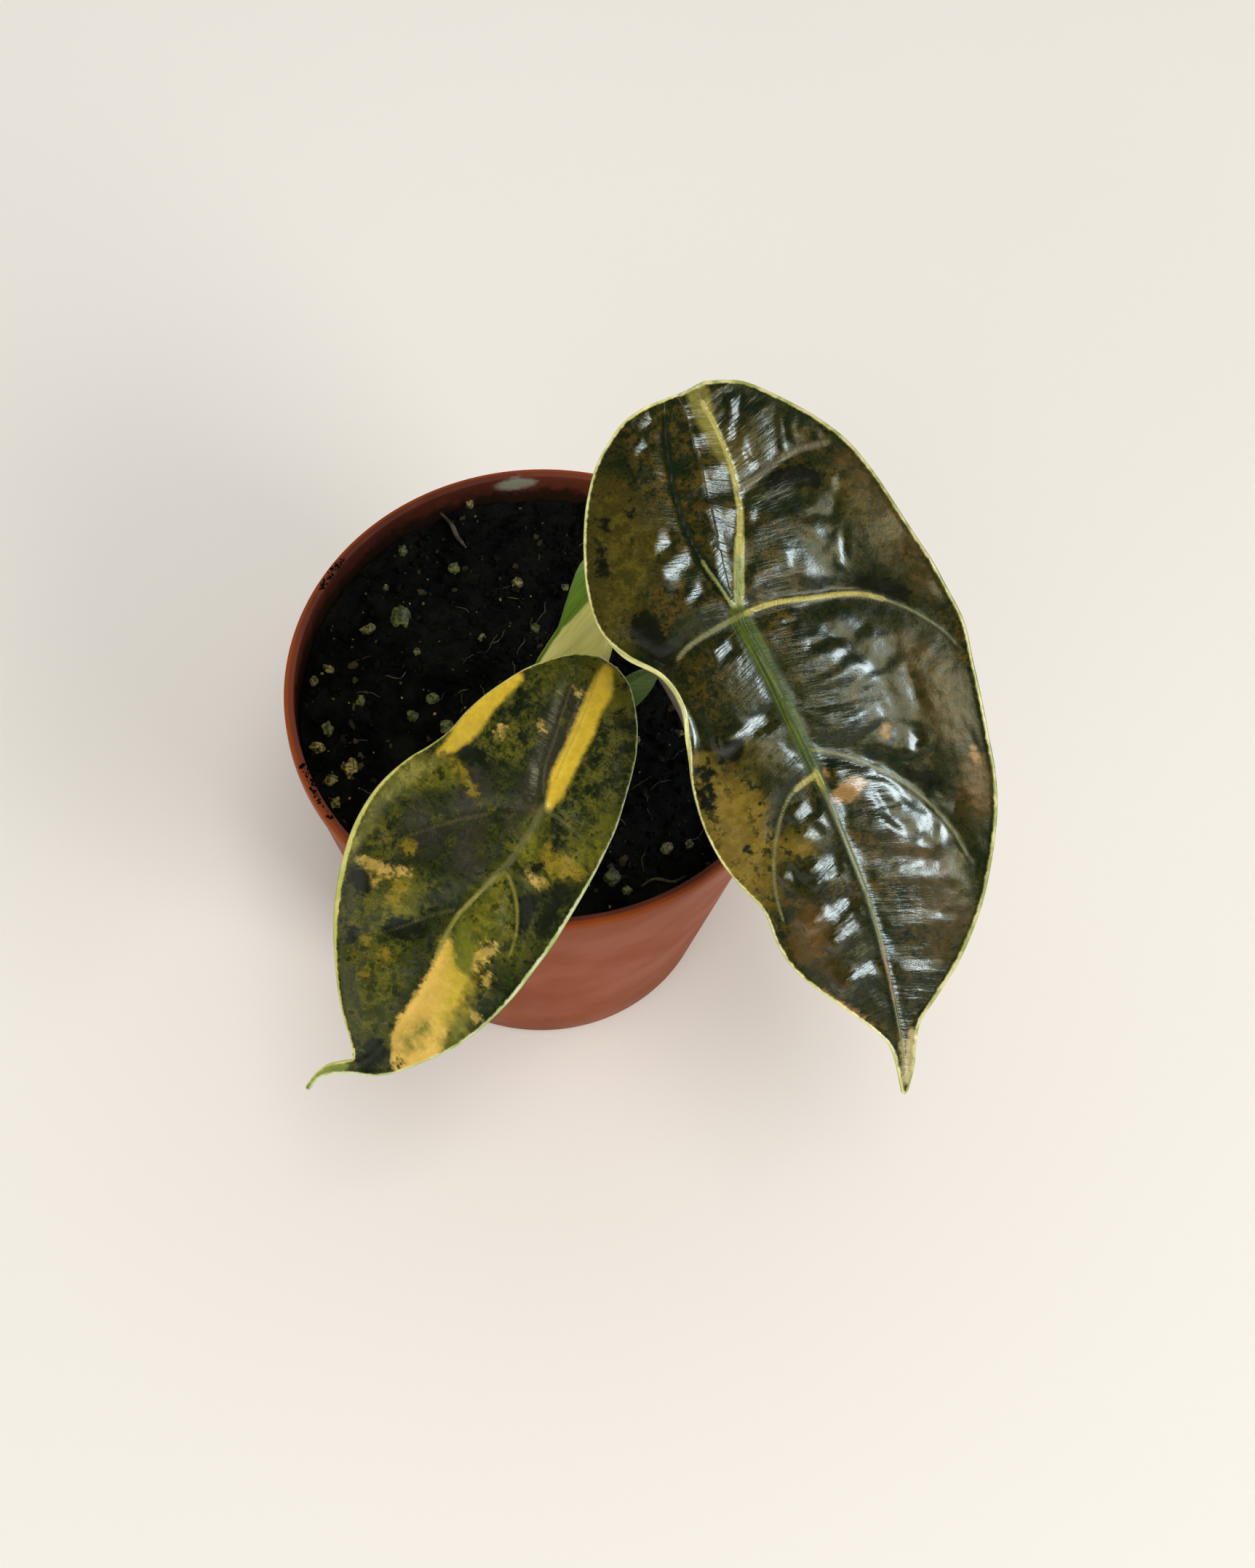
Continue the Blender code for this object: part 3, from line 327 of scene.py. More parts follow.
SMALL = {
    "joint": (2.8, -37.7, 109.2), "heading": -33, "pitch": 26, "bank": 9, "front": 50, "back": 26,
    "half": 18, "arch_front": 6, "arch_back": 2, "droop": 2.5, "fall": 0.07,
    "rows": (
        ((-9.5, -22.4), (-6.3, -24.2), (-3, -24.2)), ((-12.2, -19.5), (-5.3, -20), (0.3, -23)),
        ((-14.7, -16), (-4.4, -16), (4, -19.6)), ((-16.4, -12.4), (-3.4, -12), (6.6, -16)),
        ((-17.8, -8.8), (-2.3, -8), (8.3, -12.5)), ((-18.8, -5), (-1.1, -4), (9.9, -8)),
        ((-19.4, -1), (0, 0), (11.3, -3.5)), ((-20.7, 2.6), (0.5, 4), (12.2, 1.5)),
        ((-22.4, 6), (0.6, 8), (12.8, 6.5)), ((-23.8, 10.5), (0.2, 12), (13.2, 12)),
        ((-24.3, 15), (-0.4, 16), (13.4, 17)), ((-23.8, 20), (-1.4, 20.5), (13.2, 22.5)),
        ((-22.4, 25), (-1.3, 25), (12.8, 28.1)), ((-20.3, 30), (-0.8, 29.5), (11.5, 34.3)),
        ((-17.6, 34.8), (-0.2, 34), (9.4, 40)), ((-14.4, 39), (0.1, 38.5), (6.5, 45)),
        ((-11, 43), (0, 43), (3.7, 49)), ((-7.5, 46.3), (-0.6, 47), (0.8, 51.5)),
        ((-4.6, 48.6), (-1.5, 49.8), (-0.9, 52.4)), ((-2.9, 50.6), (-2.5, 51.9), (-2.3, 53.2)),
        ((-4.4, 52.4), (-4.1, 53.5), (-3.6, 54.2)), ((-5.9, 54.2), (-5.5, 55), (-4.9, 55.4)),
        ((-6.7, 56.6), (-6.3, 56.8), (-5.9, 57)), ((-6.9, 59.4), (-6.5, 59.6), (-6.1, 59.4)),
    ),
    "veins": (
        (0.8, 2.6, 1.7,
         ((0, 0), (0.6, 5.6), (0.4, 10.7), (-0.7, 17), (-1.5, 22.1), (-1.1, 26.8), (-0.3, 32),
          (0.1, 38), (-0.1, 44), (-1, 49.2), (-2.5, 51.8))),
        (0.8, 1.8, 1, ((0, 0), (-3.2, -5), (-4.4, -9.2), (-5.8, -13.6), (-7.2, -18))),
        (0.8, 2.2, 1.2, ((0, 0), (-1.6, -8.3), (-3.2, -16.1), (-5.3, -22.8))),
        (0.7, 2, 0.8, ((-0.2, 2.5), (-4.5, 4.5), (-9.1, 8.6), (-13.8, 14.4), (-17.5, 19.9))),
        (0.7, 2, 0.8, ((-1.2, 20.1), (-4.6, 23.8), (-7.5, 27.9), (-10.9, 32.5), (-12.3, 35.6))),
        (0.6, 2, 0.7, ((0.4, 11.2), (4.4, 14.2), (7.4, 18.4), (8.9, 23))),
        (0.5, 1.8, 0.6, ((0, 0), (5.7, 0.4), (8.8, 1), (11, 3))),
    ),
    "pillow": 1.1, "pillow_reach": 5, "calm": 1, "pillow_edge": 6, "folds": (),
    "puckers": ((0, 0.07, 8, 9, 0.12, 0.85, 0.9),), "edge_wave": 0.5, "edge_period": 15,
    "wave_reach": 9, "curl": None, "curl_angle": 0, "curl_width": 3, "row_count": 230,
    "half_columns": 56, "seed": 8,
    "wrinkles": ((0, 0.12, 2.6, 8, 7), (2, 0.08, 2.4, 6, 5), (3, 0.08, 2.6, 6, 5)), "crests": (),
    "facets": (),
    "patches": {
        "moss": (
            ((-16.8, 24.3, 3), (-12.5, 28.3, 5), (-9.5, 32.8, 5.4), (-7.8, 36.4, 5.2), (-6.1, 40, 4.3),
             (-4.7, 42.8, 3.2)), ((-11.2, -18.2, 2.1), (-8.1, -19.8, 2.4)),
            ((8.2, 17, 2), (8.6, 22, 2.4)),
        ),
        "olive": (
            ((1, 12.2, 0.7), (1.4, 14.9, 1.6), (2.2, 17.9, 2.6), (2.6, 21.1, 3.2), (2.4, 24.3, 2.6)),
            ((-1, 3.3, 1.6), (1.4, 5.9, 2.4), (3.9, 8.2, 2.2)),
            ((9.6, -3.7, 1.4), (10.4, 0.6, 1.6), (9.6, 4, 1.4)),
            ((-20.6, 9.4, 1.6), (-19.3, 7, 1.9), (-17.4, 4.6, 1.7), (-14.4, 4.6, 1)),
            ((-10.2, 22.6, 1.6), (-9.9, 26, 1.6)), ((-3.6, -22.6, 1.8), (0.2, -20.2, 1.2)),
        ),
        "violet": (
            ((-11.2, 1, 1.2), (-10.2, 5.4, 1.8), (-8, 9.6, 2.2), (-5.4, 13.6, 1.6)),
            ((-6.6, -16.4, 0.7), (-4.6, -9.4, 1), (-2.6, -2.4, 1), (-2, 5, 0.9)),
            ((-15.6, 12.2, 1.6), (-12.2, 14.6, 1.8)),
        ),
        "fringe": (
            ((-19.6, 6, 0.3), (-21.4, 9.6, 0.5), (-22.6, 14.4, 0.5), (-22.5, 19.4, 0.4),
             (-21.4, 24, 0.3)),
        ),
        "yellow": (
            ((-3.9, -22.7, 1), (-2.9, -20, 1.7), (-2.4, -16.7, 1.6), (-1.5, -13.2, 1.7),
             (-0.9, -9.1, 1.5), (-0.4, -5.7, 1.6), (0.4, -2.5, 1.1), (0.8, -0.4, 0.5)),
            ((-15, -13.9, 1), (-15.8, -10.9, 1.3), (-16.6, -7.7, 1.6), (-16.8, -4.4, 1.9),
             (-17, -2.2, 1.8), (-17.5, 0.7, 1.1), (-18.4, 2.5, 0.5)),
        ),
        "ochre": (
            ((-17.9, 2.6, 0.4), (-16.3, 2.3, 0.6), (-14.3, 2.6, 0.6), (-12.4, 3.4, 0.6),
             (-10.7, 4.3, 0.5), (-9.3, 5.4, 0.3)),
            ((4.6, 4.6, 0.8), (6.2, 6.9, 1.6), (8.4, 5.8, 1.8), (10.3, 5.4, 1.2)), ((6.9, 9.6, 0.9),),
            ((-11.4, 23.4, 1.2), (-10.9, 25.6, 1.1)), ((-11.5, 33.7, 0.9),), ((-7.7, 34, 1.2),),
            ((-8.6, 37.9, 0.8),), ((-14, 17.5, 1.2),), ((0.2, 26.6, 0.9), (1.8, 29.5, 0.9)),
        ),
        "peach": (
            ((-18.7, 23.9, 1), (-16.4, 23.1, 1.1), (-14.1, 22.1, 0.6), (-11.7, 20.8, 0.7)),
            ((-15.3, 25.2, 0.5),), ((10.5, 12.6, 0.7),),
            ((5.8, 22.9, 0.8), (5.2, 25.1, 1.1), (5.3, 26.7, 0.6)), ((8.1, 27.5, 0.8),),
            ((9.9, 33.7, 0.9),), ((-12, -5.6, 0.9),), ((-5.8, -17.5, 0.5),), ((-7.4, -10, 0.4),),
            ((4.4, 10, 0.6), (5.8, 10.2, 0.5)),
        ),
        "cream": (
            ((-0.3, 26.2, 0.5), (0.3, 27.8, 0.9), (0.8, 29.5, 1.5), (2.7, 31.3, 3), (2.9, 34.2, 3.1),
             (3.4, 36.9, 3.5), (3.7, 39.9, 4), (4.3, 42.2, 4.2), (5.1, 43.7, 3.8), (5, 45.5, 3.1)),
        ),
        "mellow": (((2, 27.4, 1), (4.4, 30.4, 1.2), (5.2, 33.4, 1), (6.4, 36.4, 0.9)),),
        "tinge": (((3, 42.9, 1.1), (3.9, 39.9, 0.5)), ((7.9, 35.8, 0.9), (9, 38.5, 1.1))),
        "green": (((0.4, 22.7, 1.1), (1.7, 24.8, 1.5), (3.2, 26.8, 1.5), (3.8, 27.8, 1)),),
        "dark": (
            ((-0.7, 47.2, 1.9), (-0.6, 49.6, 1.6)), ((3.7, 47, 0.5),),
            ((-14.3, 34.2, 1), (-13.5, 35, 0.8)), ((-18, 26.2, 1.7), (-16.5, 26.9, 1.2)),
            ((-8.9, 29.6, 1.7), (-5.6, 27.3, 1.6)), ((3.8, 1.3, 0.5), (5.1, 4.1, 0.6)),
            ((4.7, 8.5, 1),), ((-14.6, 0.2, 1.1), (-12.6, -0.6, 1.4), (-10.6, 0.2, 0.8)),
            ((6.6, 14, 1.4), (7.6, 17.6, 1)), ((9.6, 9.6, 1.2), (11, 15.6, 1.4)),
        ),
        "leafy": (((-3.6, 52.4, 1), (-4.4, 53.5, 1.4), (-5.5, 55.2, 1.4), (-6.4, 57.4, 1.2)),),
    },
    "lines": (
        ("olive", 0, 0, 0.3, 0.5, 0.5), ("pale", 0, 0.26, 0.56, 0.35, 0.3),
        ("tan", 1, 0.1, 0.95, 0.22, 0.14), ("tan", 2, 0.2, 0.9, 0.18, 0.12),
        ("tan", 3, 0.3, 0.9, 0.3, 0.2), ("tan", 4, 0.1, 0.9, 0.28, 0.18),
        ("gold", 5, 0.1, 0.95, 0.3, 0.2), ("olive", 6, 0.1, 0.7, 0.25, 0.15),
    ),
    "rim": (
        (-26, 0.15, 0.1), (0, 0.25, 0.1), (8, 0.5, 0.35), (16, 0.8, 0.5), (25, 1, 0.5), (32, 0.9, 0.35),
        (38, 0.5, 0.3), (44, 0.3, 0.3), (52, 0.2, 0.3), (60, 0.2, 0.2),
    ),
}

# Looks of the blades. Ground: two greens, the mottle's tone, the specks' tone. Patch: two tones, kind
# of outline, share of dark holes. Line: two tones, softness in millimetres, strength. Rim: two tones on
# the left and two on the right. Below: two tones and the ribs' tone.
LARGE_LOOK = {
    "ground": ((0.005, 0.012, 0.002), (0.017, 0.02, 0.002), (0.066, 0.044, 0.003), (0.001, 0.002, 0.001)),
    "mottle": 1, "wrinkling": 3.6,
    "rim": ((0.78, 0.74, 0.32), (0.56, 0.56, 0.17), (0.58, 0.54, 0.24), (0.26, 0.3, 0.07)),
    "below": ((0.075, 0.05, 0.04), (0.055, 0.045, 0.03), (0.22, 0.24, 0.09)),
    "patches": {
        "umber": ((0.09, 0.072, 0.005), (0.036, 0.03, 0.002), "soft", 0.9),
        "ochre": ((0.21, 0.142, 0.016), (0.135, 0.092, 0.007), "soft", 0.9),
        "bronze": ((0.085, 0.05, 0.01), (0.034, 0.026, 0.004), "soft", 0.7),
        "rust": ((0.15, 0.078, 0.014), (0.085, 0.048, 0.009), "soft", 0.5),
        "gold": ((0.22, 0.2, 0.035), (0.15, 0.13, 0.022), "clean", 0.2),
        "brown": ((0.095, 0.074, 0.009), (0.06, 0.046, 0.006), "soft", 0.4),
        "pink": ((0.34, 0.18, 0.05), (0.25, 0.135, 0.035), "gentle", 0.2),
        "cream": ((0.46, 0.39, 0.19), (0.36, 0.3, 0.13), "gentle", 0),
        "dark": ((0.007, 0.008, 0.002), (0.004, 0.005, 0.001), "ragged", 0),
    },
    "lines": {
        "dim": ((0.03, 0.042, 0.014), (0.012, 0.02, 0.006), 0.3, 0.9),
        "green": ((0.075, 0.108, 0.001), (0.024, 0.04, 0.0005), 0.45, 0.97),
        "olive": ((0.24, 0.23, 0.07), (0.15, 0.15, 0.035), 0.22, 0.85),
        "shade": ((0.005, 0.009, 0.004), (0.01, 0.016, 0.007), 0.3, 0.95),
        "ash": ((0.2, 0.18, 0.11), (0.1, 0.09, 0.06), 0.4, 0.7),
        "tan": ((0.32, 0.2, 0.1), (0.22, 0.15, 0.07), 0.2, 0.85),
        "pale": ((0.42, 0.44, 0.14), (0.24, 0.27, 0.06), 0.25, 0.95),
        "gold": ((0.48, 0.42, 0.095), (0.32, 0.27, 0.055), 0.22, 0.95),
    },
}
SMALL_LOOK = {
    "ground": ((0.005, 0.011, 0.002), (0.018, 0.026, 0.005), (0.11, 0.105, 0.009), (0.002, 0.003, 0.001)),
    "mottle": 0.85, "wrinkling": 1.2,
    "rim": ((0.62, 0.58, 0.16), (0.46, 0.47, 0.09), (0.58, 0.62, 0.32), (0.36, 0.46, 0.14)),
    "below": ((0.1, 0.12, 0.04), (0.08, 0.08, 0.035), (0.28, 0.32, 0.12)),
    "patches": {
        "moss": ((0.115, 0.108, 0.007), (0.024, 0.032, 0.003), "soft", 0.95),
        "olive": ((0.185, 0.165, 0.008), (0.075, 0.08, 0.004), "soft", 0.9),
        "violet": ((0.052, 0.045, 0.03), (0.022, 0.021, 0.012), "soft", 0.6),
        "fringe": ((0.31, 0.28, 0.045), (0.13, 0.13, 0.015), "soft", 0.4),
        "yellow": ((0.68, 0.46, 0.03), (0.54, 0.37, 0.022), "clean", 0),
        "ochre": ((0.25, 0.175, 0.01), (0.15, 0.115, 0.006), "ragged", 0.5),
        "peach": ((0.54, 0.355, 0.085), (0.33, 0.23, 0.045), "ragged", 0.6),
        "cream": ((0.69, 0.44, 0.085), (0.6, 0.39, 0.065), "gentle", 0),
        "mellow": ((0.54, 0.38, 0.025), (0.42, 0.31, 0.018), "soft", 0),
        "tinge": ((0.2, 0.185, 0.018), (0.13, 0.13, 0.012), "soft", 0.3),
        "green": ((0.15, 0.155, 0.008), (0.1, 0.11, 0.006), "gentle", 0),
        "dark": ((0.01, 0.014, 0.004), (0.006, 0.009, 0.002), "ragged", 0),
        "leafy": ((0.24, 0.28, 0.055), (0.15, 0.19, 0.03), "gentle", 0.2),
    },
    "lines": {
        "olive": ((0.16, 0.15, 0.03), (0.1, 0.1, 0.02), 0.35, 0.55),
        "tan": ((0.16, 0.13, 0.06), (0.1, 0.085, 0.04), 0.2, 0.35),
        "pale": ((0.3, 0.27, 0.05), (0.2, 0.19, 0.03), 0.25, 0.9),
        "gold": ((0.24, 0.21, 0.03), (0.16, 0.15, 0.02), 0.2, 0.8),
    },
}

# Stalks: centre, half-width, half-depth, share of it that the front channel takes, from the crown up
PETIOLE_LARGE = (
    ((2, 1.8, 74.8), 5.4, 3.7, 0.25), ((3.2, 1.6, 81), 5.8, 3.7, 0.35), ((4.8, 1.4, 88), 5.6, 3.5, 0.4),
    ((6.2, 1.2, 96), 4.9, 3.2, 0.4), ((6.8, 1.1, 105), 4.2, 2.9, 0.34), ((7.2, 1, 112), 3.6, 2.7, 0.26),
    ((7.8, 0.6, 117.5), 3.2, 2.5, 0.18), ((9.6, -0.8, 122.4), 2.8, 2.4, 0.1),
    ((13.4, -4, 126.8), 2.5, 2.3, 0.04), ((18.4, -8.2, 130.2), 2.3, 2.2, 0),
    ((23.8, -12.6, 132.6), 2.2, 2.1, 0), ((29.3, -16.5, 135.6), 2.5, 2.3, 0),
)
PETIOLE_SMALL = (
    ((3.6, -6.8, 74.8), 2.7, 2.4, 0.1), ((4.2, -9, 81), 2.5, 2.3, 0.15),
    ((4.9, -13.2, 89), 2.2, 2.1, 0.15), ((5.1, -19.2, 96), 2, 1.9, 0.1),
    ((4.5, -26.5, 100.8), 1.8, 1.8, 0.05), ((3.6, -33, 103.2), 1.7, 1.7, 0),
    ((3.1, -36.4, 106.3), 2, 2, 0),
)
NEW_SHOOT = (
    ((9.9, -2.8, 74.8), 1.9, 1.8, 0), ((11.6, -3, 79), 2.5, 2.3, 0), ((13.6, -3.2, 84), 2.7, 2.5, 0),
    ((15.8, -3.4, 89), 2.3, 2.2, 0), ((17.4, -3.5, 92.4), 1.5, 1.4, 0),
    ((18.6, -3.6, 94.8), 0.5, 0.5, 0),
)
STALK_SIDES = 56
STALK_STEPS = 12
STALK_OVERLAP = 0.9
STALK_SHARP = 60.0
# body, shadow and stripe
STALK_COLOURS = {
    "stalk_cream": ((0.97, 0.89, 0.30), (0.90, 0.85, 0.26), (0.16, 0.30, 0.02)),
    "stalk_green": ((0.44, 0.54, 0.12), (0.30, 0.42, 0.08), (0.14, 0.26, 0.02)),
    "shoot_green": ((0.16, 0.25, 0.06), (0.11, 0.18, 0.04), (0.07, 0.13, 0.02)),
}
# stripe on the left of the stalks: half-width as an angle, by height on the large one
STRIPE_WIDTHS = ((94, 0.25), (100, 0.5), (104, 0.85), (110, 1.35), (116, 2.0), (124, 1.6))
NO_STRIPE = -1.0
SHOOT_STRIPE = 0.4

# Camera and light. Lamp: direction from the plant, distance and size in metres, brightness in a mirror,
# colour, and whether gloss mirrors it. Lamps that it mirrors light nothing else.
CAMERA_PLACE = (15.456, -217.748, 474.25)
CAMERA_RIGHT = (0.99588, 0.08083, 0.04101)
CAMERA_UP = (-0.09063, 0.88813, 0.45057)
CAMERA_BACK = (0.0, -0.45243, 0.89180)
CAMERA_LENS = 60.11
PLANT_MIDDLE = (0.005, -0.01, 0.1)
WARM_WHITE = (1.0, 0.985, 0.96)
LAMPS = {
    "soft_light": ((0.63, -0.48, 0.60), 1.3, (0.5, 0.45), 9.8, (1.0, 0.98, 0.95), False),
    "left_light": ((-0.45, -0.72, 0.53), 0.9, (0.5, 0.4), 1.7, WARM_WHITE, False),
    "top_light": ((0.10, -0.24, 0.96), 2.5, (0.8, 0.8), 9.0, WARM_WHITE, False),
    "window": ((0.829, -0.074, 0.554), 1.3, (0.36, 0.60), 27.0, (0.82, 0.97, 1.0), True),
    "side_panel": ((0.53, -0.279, 0.80), 1.4, (0.36, 0.36), 4.8, (1.0, 0.92, 0.55), True),
}
# the room: strength of its soft light, and what gloss mirrors of it above and below two heights
ROOM_LIGHT = 0.54
DARK_ROOM = 0.05
PALE_FOOT = 0.50
DARK_ABOVE = 0.60
PALE_BELOW = 0.35
TABLE_SIZE = 6.0
TABLE_DROP = 0.0003


def curve_through(knots, station):
    """Reads a smooth curve through evenly numbered knots at a station, by Catmull and Rom's rule."""
    last = len(knots) - 1
    index = min(int(station), last - 1)
    t = station - index
    before = knots[max(index - 1, 0)]
    start = knots[index]
    end = knots[index + 1]
    after = knots[min(index + 2, last)]
    value = 2 * start + (end - before) * t
    value = value + (2 * before - 5 * start + 4 * end - after) * t ** 2
    value = value + (3 * start - before - 3 * end + after) * t ** 3
    return value / 2


def unit(vector):
    """A vector's direction."""
    return vector / np.linalg.norm(vector)


def wall_radius(height):
    """Outer radius of the pot's straight wall at a height."""
    top = RIM_RADIUS - RIM_STEP
    return FOOT_RADIUS + (top - FOOT_RADIUS) * height / (POT_HEIGHT - BEAD_HEIGHT)


def relief(x, y, size, height, layer):
    """One layer of the soil's relief at a place."""
    return height * noise.noise(Vector((x / size, y / size, layer)))


def soil_level(x, y):
    """Height of the soil's surface, with the lumps of loose peat."""
    return POT_HEIGHT - SOIL_DROP + (relief(x, y, *LUMPS) + relief(x, y, *CRUMBS))


def to_crown(x, y):
    """Level distance from a place to the crown's axis."""
    return math.hypot(x - CORM_CENTRE[0], y - CORM_CENTRE[1])


def loose_level(x, y):
    """Soil height with finer crumbs, lower where the crown stands."""
    level = soil_level(x, y) + relief(x, y, *FINE_CRUMBS) + relief(x, y, *GRIT)
    hollow = 1.0 - soft_step(to_crown(x, y), CORM_RADIUS - 2.0, CORM_RADIUS - 0.4)
    return level - CROWN_HOLLOW * float(hollow)


def circle(radius, height, sides, centre=(0.0, 0.0)):
    """Points of a level ring, anticlockwise from above."""
    steps = [math.tau * k / sides for k in range(sides)]
    return [(centre[0] + radius * math.cos(a), centre[1] + radius * math.sin(a), height) for a in steps]


def ring_stack(rings):
    """Joins rings of equal count into faces, and closes both ends round a centre point."""
    points = [point for ring in rings for point in ring]
    count = len(rings[0])
    faces = []
    for row in range(len(rings) - 1):
        low = row * count
        for k in range(count):
            n = (k + 1) % count
            faces.append((low + k, low + n, low + count + n, low + count + k))
    for ring, flip in ((0, True), (len(rings) - 1, False)):
        start = ring * count
        centre = len(points)
        points.append(tuple(np.mean(np.array(rings[ring]), axis=0)))
        for k in range(count):
            pair = (start + k, start + (k + 1) % count)
            faces.append((pair[1], pair[0], centre) if flip else (pair[0], pair[1], centre))
    return points, faces


def soft_step(value, low, high):
    """Rises smoothly from 0 to 1 between two values."""
    t = np.clip((value - low) / (high - low), 0.0, 1.0)
    return t * t * (3.0 - 2.0 * t)


def hump(value, width, power=2):
    """A bell that falls from 1 on both sides of 0."""
    return np.exp(-(value / width) ** power)


def along_route(u, v, route):
    """Distance from each point to a smooth route, its share of the way along, its side and the length."""
    nearest = np.full(u.shape, np.inf)
    share = np.zeros(u.shape)
    side = np.zeros(u.shape)
    points = [np.array(point, dtype=float) for point in route]
    count = ROUTE_LEGS * (len(points) - 1)
    knots = np.array([curve_through(points, k / ROUTE_LEGS) for k in range(count + 1)])
    lengths = np.hypot(*np.diff(knots, axis=0).T)
    travelled = 0.0
    for start, end, length in zip(knots[:-1], knots[1:], lengths):
        du, dv = (end - start) / length
        along = np.clip((u - start[0]) * du + (v - start[1]) * dv, 0.0, length)
        across_u = u - start[0] - along * du
        across_v = v - start[1] - along * dv
        distance = np.hypot(across_u, across_v)
        closer = distance < nearest
        nearest = np.where(closer, distance, nearest)
        share = np.where(closer, (travelled + along) / lengths.sum(), share)
        side = np.where(closer, np.sign(du * across_v - dv * across_u), side)
        travelled += length
    return nearest, share, side, lengths.sum()


def along_vein(blade, u, v, vein):
    """What along_route gives for a numbered vein of a blade."""
    return along_route(u, v, blade["veins"][vein][3])


def blade_frame(blade):
    """Directions of a blade: right, towards the tip, and out of its upper face."""
    heading, pitch, bank = (math.radians(blade[key]) for key in ("heading", "pitch", "bank"))
    tip = np.array((math.sin(heading) * math.cos(pitch), -math.cos(heading) * math.cos(pitch),
                    -math.sin(pitch)))
    level = np.array((math.cos(heading), math.sin(heading), 0.0))
    above = np.cross(tip, level)
    right = level * math.cos(bank) - above * math.sin(bank)
    out = above * math.cos(bank) + level * math.sin(bank)
    return right, tip, out


def fold_lift(blade, u, v):
    """Slopes that rise from the main veins over a reach."""
    lift = np.zeros(u.shape)
    for vein, way, far, slopes in blade["folds"]:
        distance, share, side, _ = along_vein(blade, u, v, vein)
        slope = np.interp(share, *np.array(slopes).T)
        run = distance - FOLD_BEND * np.log1p(np.exp((distance - far) / FOLD_BEND))
        lift = lift + np.where(side == way, slope * run, 0.0)
    return lift


def blade_lift(blade, u, v, inset):
    """Height of the upper face above the blade's plane: arch, furrows, pillows, puckers and edge wave."""
    reach = np.where(v > 0.0, blade["front"], blade["back"])
    arch = np.where(v > 0.0, blade["arch_front"], blade["arch_back"])
    lift = -arch * (v / reach) ** 2
    middle = np.array([row[1] for row in blade["rows"]])
    offset = u - np.interp(v, middle[:, 1], middle[:, 0])
    width = np.abs(offset) + np.maximum(inset, 0.0) + 0.001
    fall = blade["fall"] * width * soft_step(np.abs(offset) / width, -0.15, 0.7)
    lift = lift - np.where(offset < 0.0, blade["droop"] * (offset / blade["half"]) ** 2, fall)
    furrow = np.zeros(u.shape)
    nearest = np.full(u.shape, np.inf)
    for depth, width, _, route in blade["veins"]:
        distance, share, _, _ = along_route(u, v, route)
        fade = 1.0 - VEIN_FADE * share
        furrow = np.maximum(furrow, depth * fade * hump(distance, width * (0.6 + 0.4 * fade)))
        nearest = np.minimum(nearest, distance / (0.5 + 0.5 * fade))
    inside = soft_step(inset, 0.0, blade["pillow_edge"])
    lift = lift - furrow * soft_step(inset, -0.5, 3.0)
    lift = lift + blade["pillow"] * inside * (1.0 - hump(nearest, blade["pillow_reach"]))
    lift = lift + fold_lift(blade, u, v) * inside
    for vein, crest, spacing, spread, first, last, phase in blade["puckers"]:
        distance, share, side, length = along_vein(blade, u, v, vein)
        place = soft_step(share, first, first + 0.12) * (1.0 - soft_step(share, last - 0.12, last))
        near = soft_step(distance, 0.8, 2.6) * (1.0 - soft_step(distance, 0.55 * spread, spread))
        turn = math.tau * (share * length - 0.35 * distance) / spacing + phase + 1.3 * side
        lift = lift + crest * place * near * soft_step(inset, 0.0, 5.0) * np.sin(turn)
    wave = np.sin(math.tau * v / blade["edge_period"] + 0.8 * np.sign(u))
    wave = wave * (1.0 - soft_step(inset, 0.0, 6.0)) * soft_step(blade["wave_reach"] - abs(v), 2.0, 14.0)
    return lift + blade["edge_wave"] * wave


def blade_thickness(blade, u, v, inset):
    """Thickness of the blade, with the ribs and the stalk's seat on its underside."""
    thick = BLADE_EDGE + (BLADE_BODY - BLADE_EDGE) * soft_step(inset, 0.0, BODY_REACH)
    rib = np.zeros(u.shape)
    for _, width, height, route in blade["veins"]:
        distance, share, _, _ = along_route(u, v, route)
        rib = np.maximum(rib, height * (1.0 - RIB_FADE * share) * hump(distance, 0.5 * width))
    rib = rib * soft_step(inset, 0.0, 2.0)
    off_seat = soft_step(np.hypot(u, v), SEAT_RADIUS, 2.2 * SEAT_RADIUS)
    return thick + np.maximum(rib, (SEAT_THICKNESS - BLADE_BODY) * (1.0 - off_seat))


def roll_margin(blade, flat, inset, angle, outward, lift):
    """Rolls the left margin up and over where the blade is pinched at its waist."""
    width = blade["curl_width"]
    within = np.clip(width - inset, 0.0, width)
    radius = width / np.maximum(angle, NO_ROLL)
    turned = within / radius
    shift = np.where(angle > NO_ROLL, radius * np.sin(turned) - within, 0.0)
    rise = np.where(angle > NO_ROLL, radius * (1.0 - np.cos(turned)), 0.0)
    return flat + outward * shift[..., None], lift + rise


def grid_normals(surface):
    """Unit normals of a grid of points."""
    normals = np.cross(np.gradient(surface, axis=0), np.gradient(surface, axis=1))
    return normals / np.linalg.norm(normals, axis=2, keepdims=True)


def lattice_value(i, j, seed):
    """A repeatable value from -1 to 1 for each lattice point."""
    mixed = (i * 374761393 + j * 668265263 + seed * 974634777) & 0xFFFFFFFF
    mixed = ((mixed ^ (mixed >> 13)) * 1274126177) & 0xFFFFFFFF
    return ((mixed ^ (mixed >> 16)) & 0xFFFF) / 32767.5 - 1.0


